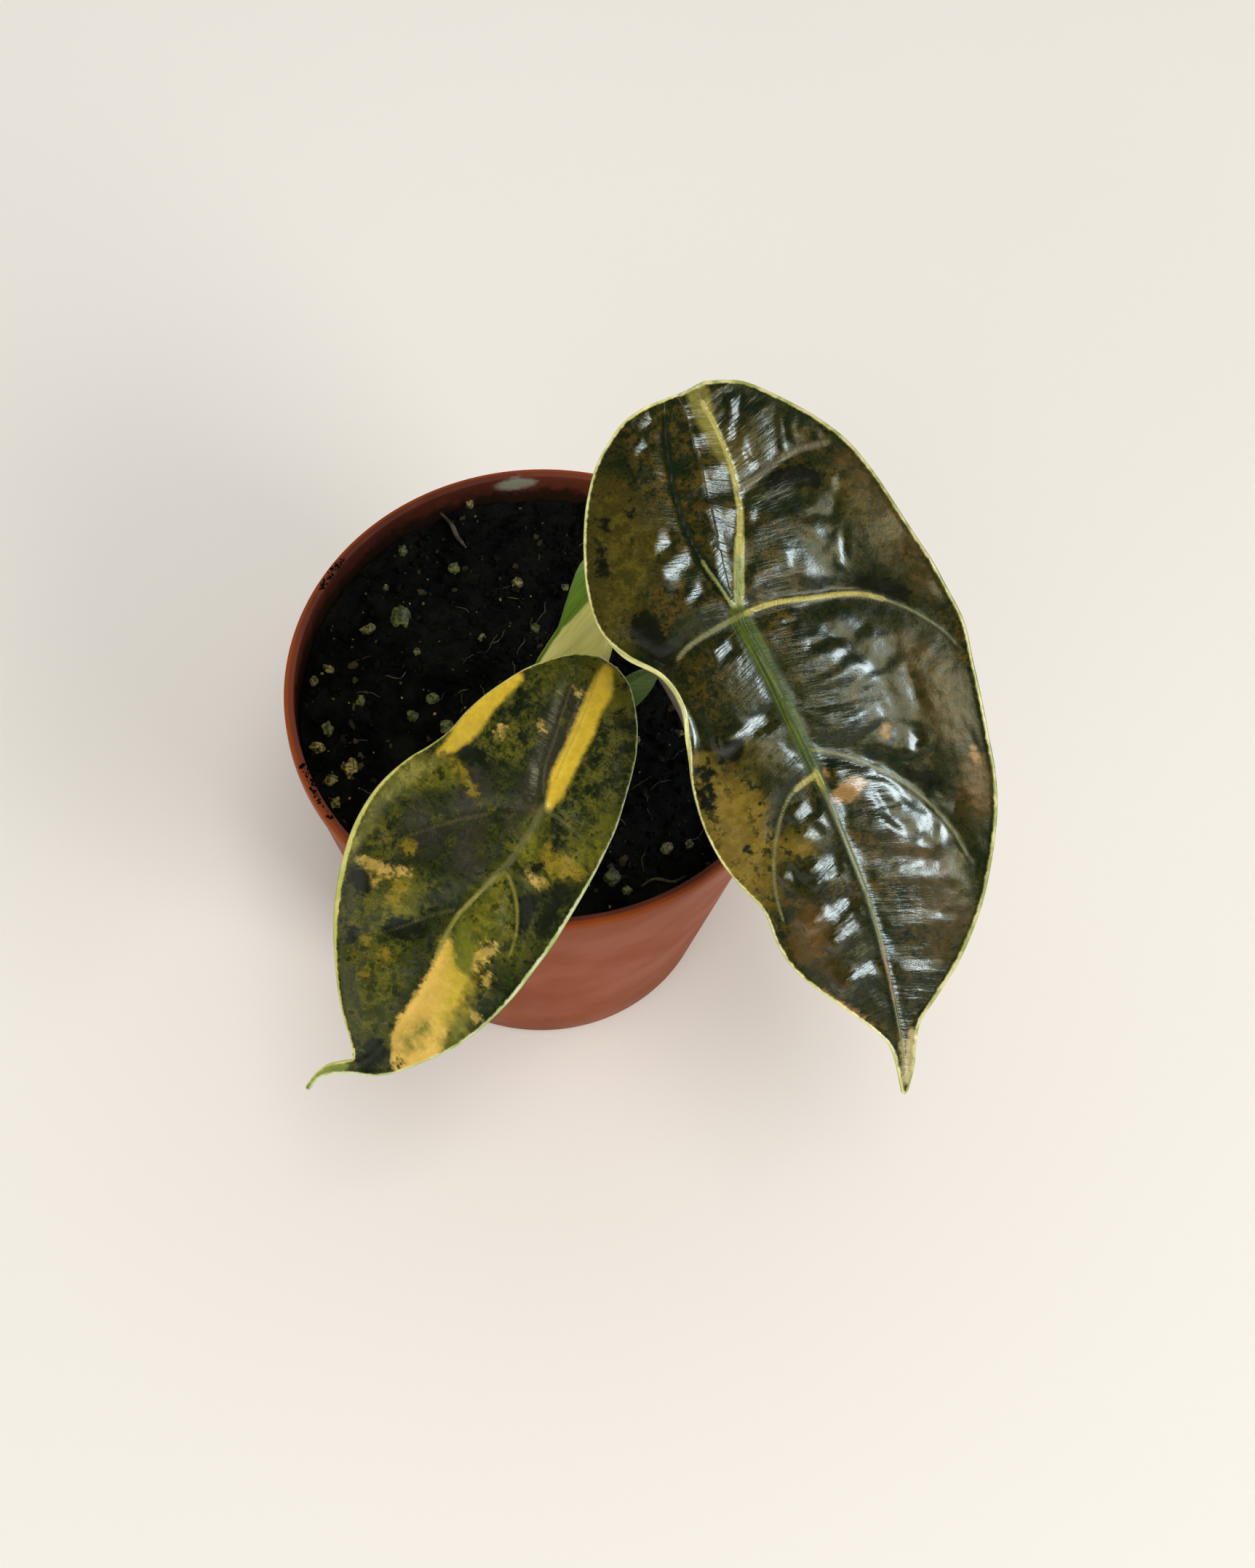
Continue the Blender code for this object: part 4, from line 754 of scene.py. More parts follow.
def value_noise(x, y, seed):
    """Smooth noise from -1 to 1 with one lattice cell a unit."""
    i = np.floor(x).astype(np.int64)
    j = np.floor(y).astype(np.int64)
    fx, fy = (f * f * f * (f * (f * 6 - 15) + 10) for f in (x - i, y - j))
    low = lattice_value(i, j, seed) * (1 - fx) + lattice_value(i + 1, j, seed) * fx
    high = lattice_value(i, j + 1, seed) * (1 - fx) + lattice_value(i + 1, j + 1, seed) * fx
    return low * (1 - fy) + high * fy


def wrinkle_lift(blade, u, v, inset, base):
    """Fine relief of the upper face: wrinkles, crests, smooth facets and a cord in each furrow."""
    lift = np.zeros(u.shape)
    inside = soft_step(inset, 0.3, 3.5)

    def rough(size, seed):
        return value_noise(u / size, v / size, blade["seed"] + seed)

    for vein, height, step, far, reach in blade["wrinkles"]:
        distance, share, side, length = along_vein(blade, u, v, vein)
        along = share * length - 0.3 * distance
        seed = blade["seed"] + 10 * vein + (side > 0).astype(np.int64) * 5
        bend = 0.6 * value_noise(along / 9.0, distance / 6.0, seed + 2)
        ridge = value_noise(along / step + bend, distance / far, seed)
        fine = value_noise(2.3 * along / step + bend, 1.7 * distance / far, seed + 1)
        weight = soft_step(distance, 0.5, 2.2) * hump(distance, reach) * inside
        calm = np.where((side == 1.0) & (vein == 0) | (side == -1.0) & (vein == 2), blade["calm"], 1.0)
        lift += height * weight * calm * (ridge + 0.35 * fine)
    for u0, v0, u1, v1, height, width in blade["crests"]:
        du, dv = u1 - u0, v1 - v0
        length = math.hypot(du, dv)
        part = ((u - u0) * du + (v - v0) * dv) / length ** 2
        offset = ((u - u0) * dv - (v - v0) * du) / length + 0.35 * rough(2.3, 40)
        lift += height * hump(np.abs(part - 0.5), 0.5, 4) * hump(offset, width) * inside
    for u0, v0, u1, v1, width, lean in blade["facets"]:
        du, dv = u1 - u0, v1 - v0
        length = math.hypot(du, dv)
        x, y = u - 0.5 * (u0 + u1), v - 0.5 * (v0 + v1)
        centre = np.argmin(x * x + y * y)
        across = (x * dv - y * du) / length
        part = (x * du + y * dv) / length ** 2 + 0.06 * rough(1.2, 61)
        weight = hump(across + FACET_RAGGED * rough(1.5, 60), 1.25 * width, 4) * hump(part, 0.56, 6)
        slope = FACET_SLOPES[lean]
        plane = slope[0] * x + slope[1] * y - 0.5 * FACET_BOW * (x * x / length + across ** 2 / width)
        wanted = base.flat[centre] + plane - base
        lift += weight * inside * (wanted - (1.0 - FACET_WRINKLE[lean]) * lift)
    lift += (0.03 * rough(1.1, 50) + 0.01 * rough(0.55, 51)) * inside
    for index, (_, _, _, route) in enumerate(blade["veins"]):
        distance, share, _, _ = along_route(u, v, route)
        size = CORD_HEIGHT[index > 0] * (1.0 - 0.7 * share)
        width = CORD_WIDTH[index > 0] * (1.0 - 0.5 * share)
        lift += size * hump(distance, width) * soft_step(inset, 0.2, 1.5)
    return lift + EDGE_BEAD * hump(inset - 0.5, 0.4)


def main_flow(blade, u, v):
    """Way along the nearest main vein, distance from it, and a number for that vein and side."""
    along, away, which = np.zeros(u.shape), np.full(u.shape, np.inf), np.zeros(u.shape)
    for vein in MAIN_VEINS:
        distance, share, side, length = along_vein(blade, u, v, vein)
        closer = distance < away
        along = np.where(closer, share * length - 0.3 * distance, along)
        which = np.where(closer, 7.0 * vein + 3.0 * side, which)
        away = np.where(closer, distance, away)
    return along, away, which


def fine_grid(blade):
    """Points of the blade's plane as in the CAD model, in many more rows and columns."""
    rows = [tuple(np.array(point, dtype=float) for point in row) for row in blade["rows"]]
    count = blade["half_columns"]
    steps = 1.0 - (1.0 - np.linspace(0.0, 1.0, count + 1)) ** 1.25
    to_left = steps[::-1, None]
    to_right = steps[1:, None]
    grid, insets, curls, outwards = [], [], [], []
    for station in np.linspace(0.0, len(rows) - 1, blade["row_count"] + 1):
        left, middle, right = (curve_through([row[k] for row in rows], station) for k in range(3))
        curl = 0.0
        if blade["curl"]:
            first, peak, end = blade["curl"]
            curl = float(soft_step(station, first, peak) * (1.0 - soft_step(station, peak, end)))
        out = unit(left - middle)
        width = blade["curl_width"]
        angle = math.radians(blade["curl_angle"]) * curl
        rolled = width * math.sin(angle) / angle if angle > NO_ROLL else width
        left = left + out * (width - rolled)
        grid.append(np.vstack((middle + (left - middle) * to_left, middle + (right - middle) * to_right)))
        spans = (np.linalg.norm(left - middle), np.linalg.norm(right - middle))
        insets.append(np.concatenate((spans[0] * (1.0 - steps[::-1]), spans[1] * (1.0 - steps[1:]))))
        curls.append(np.concatenate((np.full(count + 1, angle), np.zeros(count))))
        outwards.append(np.tile(out, (2 * count + 1, 1)))
    return np.array(grid), np.array(insets), np.array(curls), np.array(outwards)


def border_indices(rows, columns):
    """Grid places of the margin in order, as row and column numbers."""
    border = [(0, j) for j in range(columns)]
    border += [(i, columns - 1) for i in range(1, rows)]
    border += [(rows - 1, j) for j in reversed(range(columns - 1))]
    border += [(i, 0) for i in reversed(range(1, rows - 1))]
    return np.array(border)


def patch_distance(u, v, chains):
    """Distance in millimetres outside a set of chains of round spots, negative within them."""
    best = np.full(u.shape, FAR_AWAY)
    for chain in chains:
        ends = chain[1:] if len(chain) > 1 else chain
        for (x0, y0, w0), (x1, y1, w1) in zip(chain, ends):
            dx, dy = x1 - x0, y1 - y0
            size = max(dx * dx + dy * dy, 1e-9)
            t = np.clip(((u - x0) * dx + (v - y0) * dy) / size, 0.0, 1.0)
            best = np.minimum(best, np.hypot(u - x0 - t * dx, v - y0 - t * dy) - (w0 + (w1 - w0) * t))
    return best


def line_distance(blade, u, v, tone):
    """Distance in millimetres outside the vein lines of one tone."""
    best = np.full(u.shape, FAR_AWAY)
    for name, vein, first, last, wide, narrow in blade["lines"]:
        if name != tone:
            continue
        distance, share, _, length = along_vein(blade, u, v, vein)
        part = np.clip((share - first) / (last - first), 0.0, 1.0)
        beyond = np.maximum(np.maximum(first - share, share - last), 0.0) * length
        best = np.minimum(best, distance + 0.5 * beyond - (wide + (narrow - wide) * part))
    return best


def margin_distance(flat, border):
    """Distance of each point of the plane to the blade's outline."""
    outline = flat[border[:, 0], border[:, 1]]
    following = np.roll(outline, -1, axis=0)
    points = flat.reshape(-1, 2)
    best = np.full(len(points), np.inf)
    for start, end in zip(outline[::2], following[1::2]):
        way = end - start
        size = max(float(way @ way), 1e-9)
        t = np.clip(((points - start) @ way) / size, 0.0, 1.0)
        gap = points - start - t[:, None] * way
        best = np.minimum(best, gap[:, 0] ** 2 + gap[:, 1] ** 2)
    return np.sqrt(best).reshape(flat.shape[:2])


def shell_faces(rows, columns, border):
    """Faces of both sides of a grid and of the two strips that join them at the rim."""
    under = rows * columns
    i, j = np.meshgrid(np.arange(rows - 1), np.arange(columns - 1), indexing="ij")
    a = (i * columns + j).ravel()
    quads = np.stack((a, a + columns, a + columns + 1, a + 1), axis=1)
    edge = border[:, 0] * columns + border[:, 1]
    after = np.roll(edge, -1)
    ring = 2 * under + np.arange(len(border))
    ring_after = np.roll(ring, -1)
    top_side = np.stack((edge, after, ring_after, ring), axis=1)
    low_side = np.stack((ring, ring_after, under + after, under + edge), axis=1)
    return np.vstack((quads, under + quads[:, ::-1], top_side, low_side)).tolist()


def build_blade(name, blade, slot, look):
    """Makes a blade as one closed mesh, with the fields that its finish reads."""
    right, tip, out = blade_frame(blade)
    flat, inset, angle, outward = fine_grid(blade)
    u, v = flat[..., 0], flat[..., 1]
    rows, columns = u.shape
    border = border_indices(rows, columns)
    on_border = (border[:, 0], border[:, 1])
    rest = blade_lift(blade, np.zeros(1), np.zeros(1), np.full(1, blade["half"]))[0]
    lift = blade_lift(blade, u, v, inset) - rest
    thick = blade_thickness(blade, u, v, inset)
    detail = wrinkle_lift(blade, u, v, inset, lift)
    place, height = roll_margin(blade, flat, inset, angle, outward, lift)
    plain = (np.array(blade["joint"]) + place[..., 0, None] * right + place[..., 1, None] * tip
             + height[..., None] * out)
    normals = grid_normals(plain)
    if np.sum(normals @ out) < 0.0:
        normals = -normals
    upper = plain + normals * detail[..., None]
    lower = plain - normals * (thick - 0.7 * np.minimum(detail, 0.35))[..., None]
    edge = 0.5 * (plain + plain - normals * thick[..., None])
    next_in = (np.clip(border[:, 0], 1, rows - 2), np.clip(border[:, 1], 1, columns - 2))
    inwards = plain[next_in] - plain[on_border]
    inwards = inwards / np.linalg.norm(inwards, axis=1, keepdims=True)
    for face in (upper, lower):
        face[on_border] += inwards * RIM_PULL
    points = np.vstack((upper.reshape(-1, 3), lower.reshape(-1, 3), edge[on_border]))
    points[:, 2] = np.minimum(points[:, 2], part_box(name)[1][2] / MM)
    item = make_piece(name, points, shell_faces(rows, columns, border), turn_out=True)

    stations, left_widths, right_widths = np.array(blade["rim"]).T
    column_side = np.sign(np.arange(columns) - columns // 2) * np.ones((rows, 1))
    rim_width = np.where(column_side < 0, np.interp(v, stations, left_widths),
                         np.interp(v, stations, right_widths))

    def all_points(values, on_rim=None):
        edge_values = values[on_border] if on_rim is None else np.full(len(border), on_rim)
        return np.concatenate((values.ravel(), values.ravel(), edge_values))

    under = rows * columns
    side = np.concatenate((np.ones(under), -np.ones(under), np.zeros(len(border))))
    put_vectors(item, "leaf", (all_points(u), all_points(v), side))
    put_values(item, "rim", all_points(margin_distance(flat, border) - rim_width, -1.0))
    put_values(item, "rim_side", all_points(column_side))
    for tone in TONES:
        put_values(item, "line_" + tone, all_points(line_distance(blade, u, v, tone)))
    for patch, chains in blade["patches"].items():
        put_values(item, "patch_" + patch, all_points(patch_distance(u, v, chains)))
    ribs = np.minimum.reduce([along_route(u, v, vein[3])[0] for vein in blade["veins"]])
    put_values(item, "rib", all_points(ribs))
    put_vectors(item, "flow", [all_points(part) for part in main_flow(blade, u, v)])
    settle(item, blade_material(slot + "_fine", look), name)


def new_object(name, points, edges, faces):
    """Makes an object from points in millimetres."""
    mesh = bpy.data.meshes.new(name + "_fine")
    mesh.from_pydata((np.asarray(points, dtype=float) * MM).tolist(), edges, faces)
    item = bpy.data.objects.new(name + "_fine", mesh)
    bpy.context.scene.collection.objects.link(item)
    return item


def make_piece(name, points, faces, sharp=None, turn_out=False):
    """Makes a smooth mesh, apart from edges sharper than an angle, and may turn its faces out."""
    item = new_object(name, points, [], faces)
    if turn_out:
        mesh = bmesh.new()
        mesh.from_mesh(item.data)
        bmesh.ops.recalc_face_normals(mesh, faces=mesh.faces)
        mesh.to_mesh(item.data)
        mesh.free()
    shade_smooth(item, sharp)
    return item


def shade_smooth(item, sharp):
    """Shades a mesh smooth, apart from edges sharper than an angle."""
    item.data.shade_smooth()
    if sharp:
        item.data.set_sharp_from_angle(angle=math.radians(sharp))


def put_values(item, name, values):
    """Stores one number a vertex."""
    field = item.data.attributes.new(name, "FLOAT", "POINT")
    field.data.foreach_set("value", np.asarray(values, dtype=np.float32))


def put_vectors(item, name, columns):
    """Stores one vector a vertex, from three columns of numbers."""
    field = item.data.attributes.new(name, "FLOAT_VECTOR", "POINT")
    field.data.foreach_set("vector", np.stack(columns, axis=1).astype(np.float32).ravel())


def settle(item, material, node=None):
    """Puts a piece on the part's body and finish, in place of a CAD node if it has one."""
    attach(item, "root")
    if node:
        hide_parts(node)
    item.data.materials.append(material)


class Nodes:
    """Builds the nodes of one material."""

    def __init__(self, name):
        self.material = bpy.data.materials.new(name)
        self.material.use_nodes = True
        self.tree = self.material.node_tree

    def add(self, kind, **settings):
        """A new node with its settings."""
        node = self.tree.nodes.new(kind)
        for key, value in settings.items():
            setattr(node, key, value)
        return node

    def plug(self, value, socket):
        """Links a socket, or sets a constant on it."""
        if isinstance(value, bpy.types.NodeSocket):
            self.tree.links.new(value, socket)
        elif isinstance(value, tuple) and socket.type == "RGBA":
            socket.default_value = (*value, 1.0)
        else:
            socket.default_value = value

    def fill(self, node, **values):
        """Plugs values into a node's sockets, named with underscores for spaces."""
        for key, value in values.items():
            self.plug(value, node.inputs[key.replace("_", " ")])
        return node.outputs

    def math(self, operation, a, b=0.0):
        """A calculation with two numbers."""
        node = self.add("ShaderNodeMath", operation=operation)
        self.plug(a, node.inputs[0])
        self.plug(b, node.inputs[1])
        return node.outputs[0]

    def plus(self, a, b):
        return self.math("ADD", a, b)

    def less(self, a, b):
        return self.math("SUBTRACT", a, b)

    def times(self, a, b):
        return self.math("MULTIPLY", a, b)

    def sway(self, value, amount):
        """Noise round 0, times an amount."""
        return self.times(self.less(value, 0.5), amount)

    def field(self, name):
        """A number stored on the mesh."""
        return self.add("ShaderNodeAttribute", attribute_name=name).outputs["Fac"]

    def vector(self, name):
        """A vector stored on the mesh."""
        return self.add("ShaderNodeAttribute", attribute_name=name).outputs["Vector"]

    def place(self):
        """Place in the object, in metres."""
        return self.add("ShaderNodeTexCoord").outputs["Object"]

    def parts(self, vector):
        """The three numbers of a vector."""
        return self.fill(self.add("ShaderNodeSeparateXYZ"), Vector=vector)[0:3]

    def stretched(self, vector, scale=(1.0, 1.0, 1.0), location=(0.0, 0.0, 0.0)):
        """A vector with its own scale on each axis, moved."""
        return self.fill(self.add("ShaderNodeMapping"), Vector=vector, Scale=scale, Location=location)[0]

    def noise(self, vector, scale=1.0, detail=3.0, roughness=0.6):
        """Noise round 0.5."""
        node = self.add("ShaderNodeTexNoise")
        return self.fill(node, Vector=vector, Scale=scale, Detail=detail, Roughness=roughness)["Fac"]

    def cells(self, vector, scale):
        """Distance to the nearest of scattered points."""
        return self.fill(self.add("ShaderNodeTexVoronoi"), Vector=vector, Scale=scale)["Distance"]

    def step(self, value, low, high, to_low=0.0, to_high=1.0):
        """Smooth step of a value between two limits."""
        node = self.add("ShaderNodeMapRange", interpolation_type="SMOOTHSTEP")
        return self.fill(node, Value=value, From_Min=low, From_Max=high, To_Min=to_low, To_Max=to_high)[0]

    def mix(self, factor, low, high):
        """Mixes two colours."""
        node = self.add("ShaderNodeMix", data_type="RGBA")
        for value, socket in ((factor, 0), (low, 6), (high, 7)):
            self.plug(value, node.inputs[socket])
        return node.outputs[2]

    def blend(self, value, low, high, first, second, most=1.0):
        """Goes from one colour to another while a value goes from one limit to the other."""
        return self.mix(self.step(value, low, high, 0.0, most), first, second)

    def bump(self, height, distance, strength):
        """Fine relief as a normal."""
        return self.fill(self.add("ShaderNodeBump"), Strength=strength, Distance=distance, Height=height)[0]

    def finish(self, **values):
        """Sets the shader's sockets and gives the material."""
        self.fill(self.tree.nodes["Principled BSDF"], **values)
        return self.material


def leaf_colour(n, look, leaf, flow):
    """Colour of both faces: ground, ragged patches, vein lines, pale margin and underside."""
    coarse = n.noise(leaf, 0.32, 4.0)
    ragged = n.noise(leaf, 0.9, 5.0, 0.68)
    fine = n.noise(leaf, 3.2)
    blotted = n.noise(n.stretched(leaf, location=(11.0, 23.0, 4.0)), 0.62, 4.0, 0.62)
    mottled = n.noise(n.stretched(leaf, location=(17.0, 3.0, 8.0)), 0.6, 6.0, 0.68)
    broad = n.noise(n.stretched(leaf, location=(31.0, 7.0, 3.0)), 0.09, 3.0, 0.5)
    streak = n.noise(n.stretched(flow, (0.95, 0.26, 1.0)), 1.0, 4.0, 0.65)
    strand = n.noise(n.stretched(flow, (0.14, 3.4, 1.0)))
    ground = look["ground"]
    colour = n.blend(coarse, 0.38, 0.66, ground[0], ground[1])
    mottle = n.times(n.step(broad, 0.44, 0.6, 0.2, look["mottle"]), n.step(mottled, 0.42, 0.62))
    colour = n.mix(mottle, colour, ground[2])
    colour = n.mix(n.times(n.step(n.noise(leaf, 1.9, 5.0, 0.7), 0.52, 0.62), 0.75), colour, ground[3])
    outlines = {kind: n.plus(n.sway(source, wide), n.sway(streak, long)) for kind, source, wide, long in (
        ("clean", ragged, 0.9, 0.6), ("gentle", ragged, 2.0, 2.4), ("ragged", ragged, 3.6, 3.6),
        ("soft", coarse, 7.0, 4.0))}
    for patch, (tone, other, kind, holes) in look["patches"].items():
        value = n.plus(n.field("patch_" + patch), outlines[kind])
        inside = n.step(value, 3.0, -2.2) if kind == "soft" else n.step(value, 0.6, -0.5)
        if holes:
            blot = n.times(n.step(blotted, 0.53, 0.585), n.step(value, -3.6, -0.4, 0.15, 1.0))
            inside = n.times(inside, n.less(1.0, n.times(blot, holes)))
        tint = n.blend(mottled, 0.40, 0.60, tone, other)
        colour = n.mix(inside, colour, n.blend(fine, 0.36, 0.64, tint, other, 0.5))
    for tone in TONES:
        if tone not in look["lines"]:
            continue
        shade, other, soft, strength = look["lines"][tone]
        value = n.plus(n.field("line_" + tone), n.sway(fine, 0.4))
        worn = n.step(streak, 0.25, 0.55, 0.55 * strength, strength)
        stripe = n.times(n.step(value, soft, -soft), worn)
        colour = n.mix(stripe, colour, n.blend(strand, 0.38, 0.62, shade, other))
    rim = look["rim"]
    rim_tone = n.mix(n.step(n.field("rim_side"), -0.5, 0.5), n.blend(coarse, 0.4, 0.6, rim[0], rim[1]),
                     n.blend(coarse, 0.4, 0.6, rim[2], rim[3]))
    rim_value = n.plus(n.field("rim"), n.sway(ragged, 0.7))
    colour = n.blend(rim_value, 0.22, -0.12, colour, rim_tone)
    below = n.blend(coarse, 0.35, 0.65, look["below"][0], look["below"][1])
    rib = n.plus(n.field("rib"), n.less(ragged, 0.5))
    below = n.blend(rib, 0.9, 0.2, below, look["below"][2])
    below = n.blend(n.field("rim"), 0.3, -0.1, below, rim_tone)
    return n.blend(n.parts(leaf)[2], 0.0, -0.6, colour, below)


def blade_material(name, look):
    """Glossy leaf skin, duller below and on the green vein, with fine wrinkles beside the main veins."""
    n = Nodes(name)
    leaf = n.vector("leaf")
    flow = n.vector("flow")
    side = n.parts(leaf)[2]
    pores = n.plus(n.times(n.cells(leaf, 3.4), 0.08), n.times(n.noise(leaf, 1.6, 4.0), 0.35))
    wrinkle = n.times(n.noise(n.stretched(flow, (1.15, 0.16, 1.0)), 1.0, 4.0),
                      n.step(n.parts(flow)[1], 13.0, 2.0))
    height = n.plus(pores, n.times(wrinkle, look["wrinkling"]))
    dull = n.plus(n.step(side, 0.2, -0.6, 0.0, 0.3), n.step(n.field("line_green"), 0.8, -0.2, 0.0, 0.3))
    dull = n.plus(dull, n.step(n.field("line_olive"), 0.5, -0.1, 0.0, 0.25))
    gloss = n.math("MINIMUM", n.step(n.field("line_shade"), 0.0, 0.7, 0.08, 0.52),
                   n.step(n.field("line_green"), -0.2, 0.6, 0.28, 0.52))
    rough = n.plus(n.step(n.noise(leaf, 0.7), 0.3, 0.7, 0.19, 0.28), dull)
    return n.finish(Base_Color=leaf_colour(n, look, leaf, flow), Roughness=rough,
                    Specular_IOR_Level=gloss, Normal=n.bump(height, 0.0002, 0.34))


def stalk_material(name, body, shadow, stripe):
    """Waxy stalk skin with fine lengthwise lines and a stripe of another colour."""
    n = Nodes(name)
    stalk = n.vector("stalk")
    lines = n.noise(n.stretched(stalk, (2.6, 0.07, 1.0)), 1.0, 4.0)
    broad = n.noise(n.stretched(stalk, (0.7, 0.05, 1.0)), 1.0, 2.0, 0.5)
    colour = n.blend(lines, 0.35, 0.68, body, shadow)
    colour = n.blend(broad, 0.45, 0.7, colour, stripe, 0.2)
    dark_stripe = tuple(channel * 0.7 for channel in stripe)
    colour = n.blend(n.plus(n.field("stripe"), n.sway(lines, 0.9)), 0.3, -0.3, colour,
                     n.blend(lines, 0.4, 0.6, stripe, dark_stripe))
    return n.finish(Base_Color=colour, Roughness=0.42, Specular_IOR_Level=0.5, Subsurface_Weight=0.12,
                    Subsurface_Radius=(0.6, 0.8, 0.25), Subsurface_Scale=0.0012,
                    Normal=n.bump(lines, 0.00018, 0.6))


def pot_material():
    """Satin terracotta plastic: fine grain, faint drawing lines, and inside the rim scale, soil smudges and
    painted shade.
    """
    n = Nodes("pot_plastic_fine")
    place = n.place()
    x, y, z = n.parts(place)
    radius = n.math("SQRT", n.plus(n.times(x, x), n.times(y, y)))
    grain = n.noise(place, 2600.0)
    cloud = n.noise(place, 55.0, 3.0, 0.55)
    colour = n.blend(cloud, 0.35, 0.68, (0.262, 0.052, 0.008), (0.220, 0.042, 0.006))
    colour = n.blend(grain, 0.3, 0.75, colour, (0.33, 0.085, 0.022), 0.2)
    slope = (RIM_RADIUS - RIM_STEP - FOOT_RADIUS) / (POT_HEIGHT - BEAD_HEIGHT)
    depth = n.less(n.plus(n.times(z, slope), FOOT_RADIUS * MM), radius)
    inner = n.times(n.step(depth, 0.6 * MM, 0.9 * MM), n.step(z, 10 * MM, 20 * MM))
    # painted shade: the whole inner wall takes a darker, browner tone, partly soil staining
    colour = n.mix(inner, colour, n.blend(cloud, 0.4, 0.6, (0.16, 0.040, 0.022), (0.10, 0.026, 0.016)))
    # painted shade: a near-black band on the inner wall just above the soil, in the gap where shade falls,
    # partly peat smudges
    smudge = n.noise(place, 420.0, 5.0, 0.7)
    low = n.step(n.plus(z, n.times(smudge, 0.006)), 0.0795, 0.0765)
    colour = n.mix(n.times(n.times(inner, low), 0.9), colour, (0.012, 0.009, 0.006))
    patch = n.plus(*(n.math("POWER", n.math("DIVIDE", n.less(value, centre * MM), half * MM), 2.0)
                     for value, (centre, half) in zip((x, z), SCALE_PATCH)))
    patch = n.times(n.step(n.plus(patch, n.times(smudge, 1.6)), 2.0, 1.0), n.step(y, 0.0, 0.01))
    colour = n.mix(n.times(n.times(patch, inner), 0.8), colour, (0.42, 0.44, 0.33))
    drawn = n.noise(n.stretched(place, (900.0, 900.0, 40.0)), 1.0, 2.0, 0.5)
    height = n.plus(n.times(grain, 0.6), n.times(drawn, 0.5))
    return n.finish(Base_Color=colour, Roughness=n.step(cloud, 0.3, 0.7, 0.40, 0.52),
                    Specular_IOR_Level=0.07, Normal=n.bump(height, 0.00006, 0.7))


def peat_material():
    """Nearly black moist peat with browner fibres."""
    n = Nodes("peat_fine")
    grain = n.noise(n.place(), 900.0, 5.0, 0.7)
    colour = n.blend(n.noise(n.place(), 160.0), 0.35, 0.7, (0.0010, 0.0014, 0.0008),
                     (0.0050, 0.0056, 0.0030))
    colour = n.blend(grain, 0.62, 0.78, colour, (0.017, 0.025, 0.007))
    colour = n.blend(n.field("tint"), 0.5, 1.0, colour, (0.06, 0.045, 0.022), 0.8)
    return n.finish(Base_Color=colour, Roughness=n.step(grain, 0.3, 0.7, 0.75, 0.95),
                    Specular_IOR_Level=0.08, Normal=n.bump(grain, 0.0005, 0.8))


def granule_material():
    """Slow-release granules and perlite stained by algae: yellow-green to tan."""
    n = Nodes("granule_fine")
    grain = n.noise(n.place(), 1500.0, 4.0, 0.65)
    colour = n.blend(n.field("tint"), 0.0, 1.0, (0.095, 0.11, 0.016), (0.32, 0.235, 0.06))
    colour = n.blend(grain, 0.42, 0.60, colour, (0.018, 0.024, 0.006))
    return n.finish(Base_Color=colour, Roughness=0.7, Normal=n.bump(grain, 0.0003, 0.8))


def fibre_material():
    """Dry roots and wood splinters in the peat."""
    n = Nodes("fibre_fine")
    grain = n.noise(n.place(), 700.0, 4.0)
    colour = n.blend(grain, 0.35, 0.65, (0.09, 0.065, 0.030), (0.03, 0.022, 0.010))
    return n.finish(Base_Color=colour, Roughness=0.8, Normal=n.bump(grain, 0.0002, 0.7))


def corm_material():
    """Papery brown scales round the crown."""
    n = Nodes("corm_skin_fine")
    flakes = n.noise(n.stretched(n.place(), (500.0, 500.0, 90.0)), 1.0, 5.0, 0.65)
    colour = n.blend(flakes, 0.35, 0.62, (0.045, 0.026, 0.014), (0.16, 0.095, 0.045))
    colour = n.blend(n.noise(n.place(), 260.0), 0.55, 0.7, colour, (0.08, 0.10, 0.03), 0.6)
    return n.finish(Base_Color=colour, Roughness=0.75, Normal=n.bump(flakes, 0.0005, 0.8))


def floor_material():
    """Pale matt table top."""
    n = Nodes("floor_pale")
    cloud = n.noise(n.place(), 3.0, 3.0, 0.5)
    colour = n.blend(cloud, 0.3, 0.7, (0.845, 0.82, 0.77), (0.825, 0.795, 0.745))
    return n.finish(Base_Color=colour, Roughness=0.85, Specular_IOR_Level=0.2,
                    Normal=n.bump(n.noise(n.place(), 900.0), 0.0001, 0.15))


